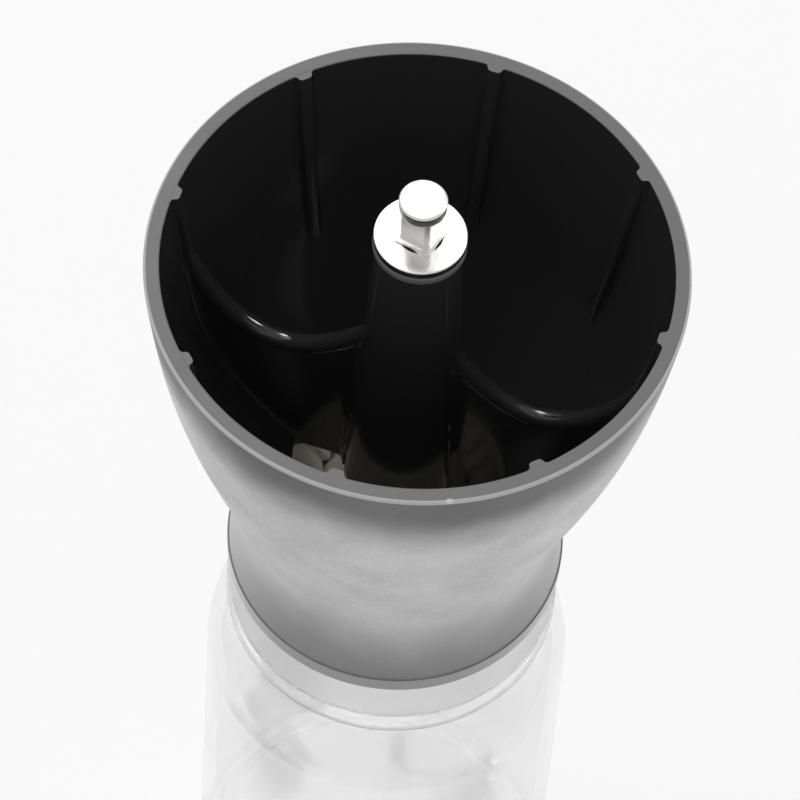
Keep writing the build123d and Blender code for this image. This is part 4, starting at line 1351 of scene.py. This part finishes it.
# ---- burrs
@dataclass
class Burrs:
    """The fixed burr ring, the turning cone and what carries them, in millimetres."""

    teeth: int = 30
    tooth_depth: float = 0.8
    tooth_lean: float = math.radians(14.0)
    tooth_radius: float = 13.0  # where the lean is measured
    tooth_share: float = 0.72
    tooth_skew: float = 0.55
    lobes: int = 5
    lobe_depth: float = 2.4
    lobe_lean: float = math.radians(32.0)
    lobe_radius: float = 9.0
    lobe_share: float = 0.62
    lobe_skew: float = 0.4
    gap: float = 0.35
    base_radius: float = 15.1
    throat_radius: float = 11.0
    top_radius: float = 6.9
    band_height: float = 1.4
    fine_height: float = 9.0
    fine_rings: int = 16
    coarse_rings: int = 14
    bore_radius: float = 5.7
    ring_radius: float = 17.5
    mouth_radius: float = 14.9
    lugs: int = 3
    lug_width: float = 4.0
    lug_height: float = 5.0
    lug_proud: float = 0.8
    lug_bury: float = 0.6
    lug_break: float = 0.2
    carrier_edge: float = 0.12
    holder_edge: float = 0.15
    steps: int = 360

    def __post_init__(self) -> None:
        """Read the heights of the cone, and of its flare and its throat, from the frame."""
        self.foot, self.top = heights("inner_burr")
        self.flare, self.throat = self.foot + self.band_height, self.foot + self.fine_height

    def side(self, gap: float, end: Point2) -> list[Corner]:
        """A burr's side, a gap outside the cone's own, as closely spaced rings before its end."""
        throat = (self.throat_radius + gap, self.throat)
        fine = straight_line((self.base_radius + gap, self.flare), throat, self.fine_rings)
        coarse = straight_line(throat, end, self.coarse_rings)
        return along([*fine, *coarse[1:-1]])

    def cone(self) -> bpy.types.Mesh:
        """The turning burr: fine teeth below, five coarse lobes above."""
        bore, foot, top, throat = self.bore_radius, self.foot, self.top, self.throat
        corners = [Corner(bore, foot), Corner(self.base_radius, foot, 0.15),
                   *self.side(0.0, (self.top_radius, top)), Corner(self.top_radius, top, 0.4),
                   Corner(bore, top, 0.2)]
        base = turned("turning burr", corners, self.steps)
        mark_grooved(base, lambda r, z: r > bore + 0.5 and foot + 0.3 < z < throat + 1.5)
        fine = grooved("fine teeth", base, CERAMIC, self.teeth, self.tooth_depth,
                       math.tan(self.tooth_lean) / self.tooth_radius, self.tooth_share,
                       low=self.flare - 0.8, high=throat + 1.2, fade=1.0, skew=self.tooth_skew)
        if "grooved" in fine.attributes:
            fine.attributes.remove(fine.attributes["grooved"])
        mark_grooved(fine, lambda r, z: r > bore + 0.35 and z > throat - 1.5)
        return grooved("coarse lobes", fine, CERAMIC, self.lobes, self.lobe_depth,
                       math.tan(self.lobe_lean) / self.lobe_radius, self.lobe_share,
                       low=throat - 1.2, high=top + 2.5, fade=2.4, skew=self.lobe_skew)

    def lug(self, top: float) -> bpy.types.Mesh:
        """The fixed burr's lug on the X axis, with its edges broken."""
        half, edge = self.lug_width / 2, self.lug_break
        root, face = self.ring_radius - self.lug_bury, self.ring_radius + self.lug_proud
        levels = ((top - self.lug_height, edge), (top - self.lug_height + edge, 0.02),
                  (top - edge, 0.02), (top, edge))
        return lofted("burr lug", [[(root, -half + e, z), (face - e, -half + e, z),
                                    (face - e, half - e, z), (root, half - e, z)]
                                   for z, e in levels])

    def ring(self) -> bpy.types.Mesh:
        """The fixed burr: teeth inside, three lugs outside."""
        foot, top = heights("outer_burr")
        outside, flare = self.ring_radius, self.flare
        corners = [Corner(outside, foot, 0.3), Corner(self.base_radius + self.gap, foot, 0.1),
                   *self.side(self.gap, (self.mouth_radius, top)),
                   Corner(self.mouth_radius, top, 0.3), Corner(outside, top, 0.3)]
        base = turned("fixed burr", corners, self.steps)
        mark_grooved(base, lambda r, z: r < outside - 1.2 and flare - 0.6 < z < top - 0.3)
        ring = grooved("ring teeth", base, CERAMIC, self.teeth, -self.tooth_depth,
                       -math.tan(self.tooth_lean) / self.tooth_radius, self.tooth_share,
                       low=flare - 0.2, high=top - 0.4, fade=1.4, skew=-self.tooth_skew)
        lugs = [spun(self.lug(top), FULL_TURN * turn / self.lugs) for turn in range(self.lugs)]
        return joined("fixed burr", [ring, *lugs])

    def build(self) -> None:
        """Make and dress the burrs, their carrier, cushion and retainer."""
        for name, mesh, body, node in (("burr_ring", self.ring(), Body.HOPPER, "outer_burr"),
                                       ("burr_cone", self.cone(), Body.BURR_SET, "inner_burr")):
            piece(name, mesh, body, (CERAMIC,), (node,), 50)
        piece("burr_carrier_hub", cad_copy("burr_carrier", self.carrier_edge), Body.BURR_SET,
              (BLACK,), ("burr_carrier",))
        piece("burr_holder", cad_copy("burr_retainer", self.holder_edge), Body.HOPPER,
              (BLACK,), ("burr_retainer",))
        dress_cad("burr_cushion", SILICONE)
        dress_cad("click_washer", PUNCHED)


# ---- adjusting nut
@dataclass
class AdjustingNut:
    """The scalloped nut that sets the grind, with its brass insert, in millimetres."""

    broken_edge: float = 0.25

    def build(self) -> None:
        """Dress the nut and its insert."""
        piece("adjusting_nut_grip", cad_copy("adjusting_nut", self.broken_edge), Body.NUT,
              (BLACK,), ("adjusting_nut",))
        dress_cad("nut_insert", BRASS)


# ---- lid
@dataclass
class Lid:
    """The domed smoked lid that lies beside the grinder, in millimetres."""

    rim_radius: float = 36.0
    wall: float = 1.8
    flange: float = 1.6
    skirt_radius: float = 32.05
    skirt_height: float = 6.0
    hole_radius: float = 6.7
    crown: float = 0.72  # the share of the dome's height that it has half way in
    steps: int = 180

    def dome(self) -> bpy.types.Mesh:
        """The lid: skirt, flange, shallow dome and a rolled lip round its hole."""
        low, high = heights("lid")
        flange_z = low + self.skirt_height
        edge_z = flange_z + self.flange
        crown_z = edge_z + self.crown * (high - edge_z)
        bore = self.skirt_radius - self.wall
        above = smooth_line([(self.rim_radius, edge_z), (self.rim_radius / 2, crown_z),
                             (self.hole_radius, high)], (-1, 0.22), (-1, 0.04), steps=40)
        below = smooth_line([(self.hole_radius, high - self.wall),
                             (self.rim_radius / 2, crown_z - self.wall),
                             (bore, edge_z - self.wall)], (1, -0.04), (1, -0.3), steps=40)
        corners = [Corner(bore, low, 0.3), Corner(self.skirt_radius, low, 0.5),
                   Corner(self.skirt_radius, flange_z, 0.3), Corner(self.rim_radius, flange_z, 0.3),
                   Corner(*above[0], 0.6), *along(above[1:-1]), Corner(*above[-1], 0.5),
                   Corner(*below[0], 0.4), *along(below[1:-1]), Corner(*below[-1], 0.6)]
        return turned("lid", corners, self.steps, centre=middle("lid"))

    def build(self) -> None:
        """Make and dress the lid."""
        piece("lid_dome", self.dome(), Body.LID, (SMOKE_CLEAR,), ("lid",))


# ---- crank
@dataclass
class Crank:
    """The steel arm with its keyed hub and the knob's pin, in millimetres."""

    arm_edge: float = 0.12
    hub_edge: float = 0.15
    pin_edge: float = 0.15

    def build(self) -> None:
        """Make and dress the arm, the hub and the pin."""
        turned_pin = TurnedMetal("turned steel pin", "DCDBD9", middle("knob_pin"))
        piece("crank_bar", cad_copy("crank_arm", self.arm_edge), Body.CRANK,
              (STRIP,), ("crank_arm",))
        piece("crank_boss", cad_copy("crank_hub", self.hub_edge), Body.CRANK, (BLACK,),
              ("crank_hub",))
        piece("crank_pin", cad_copy("knob_pin", self.pin_edge), Body.CRANK,
              (turned_pin,), ("knob_pin",))
        dress_cad("knob_washer", NYLON)


@dataclass
class Knob:
    """The knob that spins on the crank's pin, with its cap, in millimetres."""

    foot_radius: float = 9.0
    waist: Point2 = (10.4, 11.7)  # radius and height above the foot
    crown: Point2 = (12.97, 24.1)  # radius and height above the foot
    top_radius: float = 7.5
    well: Point2 = (5.2, 9.0)  # radius and depth
    bore_radius: float = 3.05
    cap_radius: float = 7.1
    cap_edge: float = 0.5
    cap_dome: Point2 = (0.6, 0.12)  # the share of its radius, and the drop from its top there
    cap_plug: Point2 = (5.15, 3.0)  # radius and length
    cap_steps: int = 96
    steps: int = 144

    def grip(self) -> bpy.types.Mesh:
        """The knob's body, with its bore and the well for the pin's head."""
        low, high = heights("crank_knob")
        side = smooth_line([(self.foot_radius, low), (self.waist[0], low + self.waist[1]),
                            (self.crown[0], low + self.crown[1]), (self.top_radius, high)],
                           (0.02, 1), (-1, 0.12), steps=72)
        well, floor = self.well[0], high - self.well[1]
        corners = [Corner(self.bore_radius, low, 0.2), Corner(*side[0], 0.4), *along(side[1:-1]),
                   Corner(*side[-1], 0.1), Corner(well, high, 0.3), Corner(well, floor),
                   Corner(self.bore_radius, floor)]
        return turned("knob", corners, self.steps, centre=middle("crank_knob"))

    def cap(self) -> bpy.types.Mesh:
        """The pressed-in cap with its low dome."""
        low, high = heights("knob_cap")
        plug, seat = self.cap_plug[0], low + self.cap_plug[1]
        share, drop = self.cap_dome
        dome = smooth_line([(self.cap_radius, seat + self.cap_edge),
                            (self.cap_radius * share, high - drop), (0, high)],
                           (-0.3, 1), (-1, 0), steps=24)
        corners = [Corner(0, low), Corner(plug, low, 0.3), Corner(plug, seat),
                   Corner(self.cap_radius, seat, 0.15), *along(dome)]
        return turned("knob cap", corners, self.cap_steps, closed=False,
                      centre=middle("knob_cap"))

    def build(self) -> None:
        """Make and dress the knob and its cap."""
        piece("knob_grip", self.grip(), Body.KNOB, (SOFT_BLACK,), ("crank_knob",))
        piece("knob_button", self.cap(), Body.KNOB, (BLACK,), ("knob_cap",))


# ---- bushes
@dataclass
class Bushes:
    """The two bearing bushes in the column, in millimetres."""

    seat_radius: float = 4.6
    bore_radius: float = 3.05
    flange_round: float = 0.5
    steps: int = 96

    def build(self) -> None:
        """Make the flanged upper bush, and dress the plain lower one."""
        low, high = heights("upper_bush")
        flange_foot = heights("hopper_body")[1]
        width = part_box("upper_bush")[1][0] / MM
        corners = [Corner(self.bore_radius, low, 0.2), Corner(self.seat_radius, low, 0.2),
                   Corner(self.seat_radius, flange_foot), Corner(width, flange_foot, 0.1),
                   Corner(width, high, self.flange_round), Corner(self.bore_radius, high, 0.2)]
        piece("upper_bush_ring", turned("upper bush", corners, self.steps), Body.HOPPER,
              (NYLON,), ("upper_bush",))
        dress_cad("lower_bush", NYLON)


# ---- room and camera
@dataclass
class Studio:
    """A white floor, a white room and soft lamps.

    The camera's lengths are in millimetres and its angles in degrees; the rest is in metres.
    """

    aim: Point3 = (-0.87, -0.22, 140.0)
    heading: Point2 = (-0.244, 0.970)
    elevation: float = 58.5
    roll: float = 4.725
    distance: float = 660.0
    lens: float = 217.1
    sensor: float = 36.0
    clip: Point2 = (0.01, 20.0)
    floor_reach: float = 4.0
    paper: str = "F4F4F5"
    white: str = "FFFFFF"
    room: float = 0.75  # how bright the room is as a lamp and in reflections
    glow_share: float = 0.7  # of the floor, for the camera and in reflections
    through_glass: float = 0.0  # the same, seen through glass
    softbox: Point3 = (-0.35, 0.25, 1.1)
    softbox_size: Point2 = (0.9, 0.6)
    softbox_power: float = 3.0
    spots: tuple[Point3, ...] = ((0.76, 0.52, 0.78), (-0.29, 0.50, 1.1))
    spot_size: float = 0.36
    spot_power: float = 5.0  # it shows in gloss and in glass, and lights no matt surface
    lamp_target: Point3 = (0.0, 0.0, 0.1)

    def floor(self) -> None:
        """A wide paper floor that takes shadows, and glows for the camera and in reflections."""
        mesh = bpy.data.meshes.new("studio floor")
        signs = ((-1, -1), (1, -1), (1, 1), (-1, 1))
        mesh.from_pydata([(x * self.floor_reach, y * self.floor_reach, 0) for x, y in signs], [],
                         [(0, 1, 2, 3)])
        floor = placed("studio_floor", mesh)
        material = bpy.data.materials.new("white sweep")
        tree = empty_tree(material)
        paper = add_node(tree, "ShaderNodeBsdfDiffuse", {"Color": linear(self.paper)})
        glow = add_node(tree, "ShaderNodeEmission", {"Color": linear(self.white), "Strength": 1.0})
        path = add_node(tree, "ShaderNodeLightPath").outputs
        seen = calc(tree, "MAXIMUM", path["Is Camera Ray"], path["Is Glossy Ray"])
        share = remap(tree, path["Is Transmission Ray"], (0.0, 1.0),
                      (calc(tree, "MULTIPLY", seen, self.glow_share), self.through_glass))
        mixed = add_node(tree, "ShaderNodeMixShader",
                         {0: share, 1: paper.outputs[0], 2: glow.outputs[0]})
        add_node(tree, "ShaderNodeOutputMaterial", {"Surface": mixed.outputs[0]})
        mesh.materials.append(material)

    def light(self) -> None:
        """An even white room, one broad lamp overhead and two small ones beyond the grinder."""
        world = bpy.data.worlds.new("white room")
        bpy.context.scene.world = world
        tree = empty_tree(world)
        path = add_node(tree, "ShaderNodeLightPath").outputs
        seen = calc(tree, "MAXIMUM", path["Is Camera Ray"], path["Is Transmission Ray"])
        sky = add_node(tree, "ShaderNodeBackground",
                       {"Color": linear(self.white),
                        "Strength": remap(tree, seen, (0.0, 1.0), (self.room, 1.0))})
        add_node(tree, "ShaderNodeOutputWorld", {"Surface": sky.outputs[0]})
        self.lamp("overhead softbox", self.softbox, self.softbox_size, self.softbox_power)
        for number, place in enumerate(self.spots, 1):
            spot = self.lamp(f"ceiling spot {number}", place, (self.spot_size, self.spot_size),
                             self.spot_power)
            spot.visible_diffuse = False

    def lamp(self, name: str, place: Point3, size: Point2, power: float) -> bpy.types.Object:
        """Hang one flat lamp that faces the grinder.

        Args:
            name: The lamp's name.
            place: Where it hangs, in metres.
            size: Its width and length in metres.
            power: Its power in watts.

        Returns:
            The lamp's object.
        """
        lamp = bpy.data.lights.new(name, "AREA")
        lamp.shape, lamp.size, lamp.size_y, lamp.energy = "RECTANGLE", *size, power
        holder = placed(name, lamp)
        holder.location = place
        towards = Vector(self.lamp_target) - holder.location
        holder.rotation_euler = towards.to_track_quat("-Z", "Y").to_euler()
        return holder

    def camera(self) -> None:
        """A long lens that looks down at the hopper."""
        climb, roll = math.radians(self.elevation), math.radians(self.roll)
        forward = Vector((self.heading[0] * math.cos(climb), self.heading[1] * math.cos(climb),
                          -math.sin(climb))).normalized()
        level = forward.cross(Vector((0, 0, 1))).normalized()
        upright = level.cross(forward)
        right = level * math.cos(roll) + upright * math.sin(roll)
        up = upright * math.cos(roll) - level * math.sin(roll)
        data = bpy.data.cameras.new("studio camera")
        data.lens, data.sensor_width = self.lens, self.sensor
        data.clip_start, data.clip_end = self.clip
        holder = placed("studio camera", data)
        frame = Matrix((right, up, -forward)).transposed().to_4x4()
        frame.translation = Vector(self.aim) * MM - forward * self.distance * MM
        holder.matrix_world = frame
        bpy.context.scene.camera = holder

    def build(self) -> None:
        """Set the whole studio up."""
        self.floor()
        self.light()
        self.camera()
        bpy.context.scene.view_settings.view_transform = "Standard"


def main() -> None:
    """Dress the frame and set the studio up."""
    logging.basicConfig(level=logging.INFO, format="%(message)s")
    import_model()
    Studio().build()
    for part in (Hopper, Bushes, Burrs, Spindle, AdjustingNut, Jar, Lid, Crank, Knob):
        part().build()


if __name__ == "__main__":
    main()
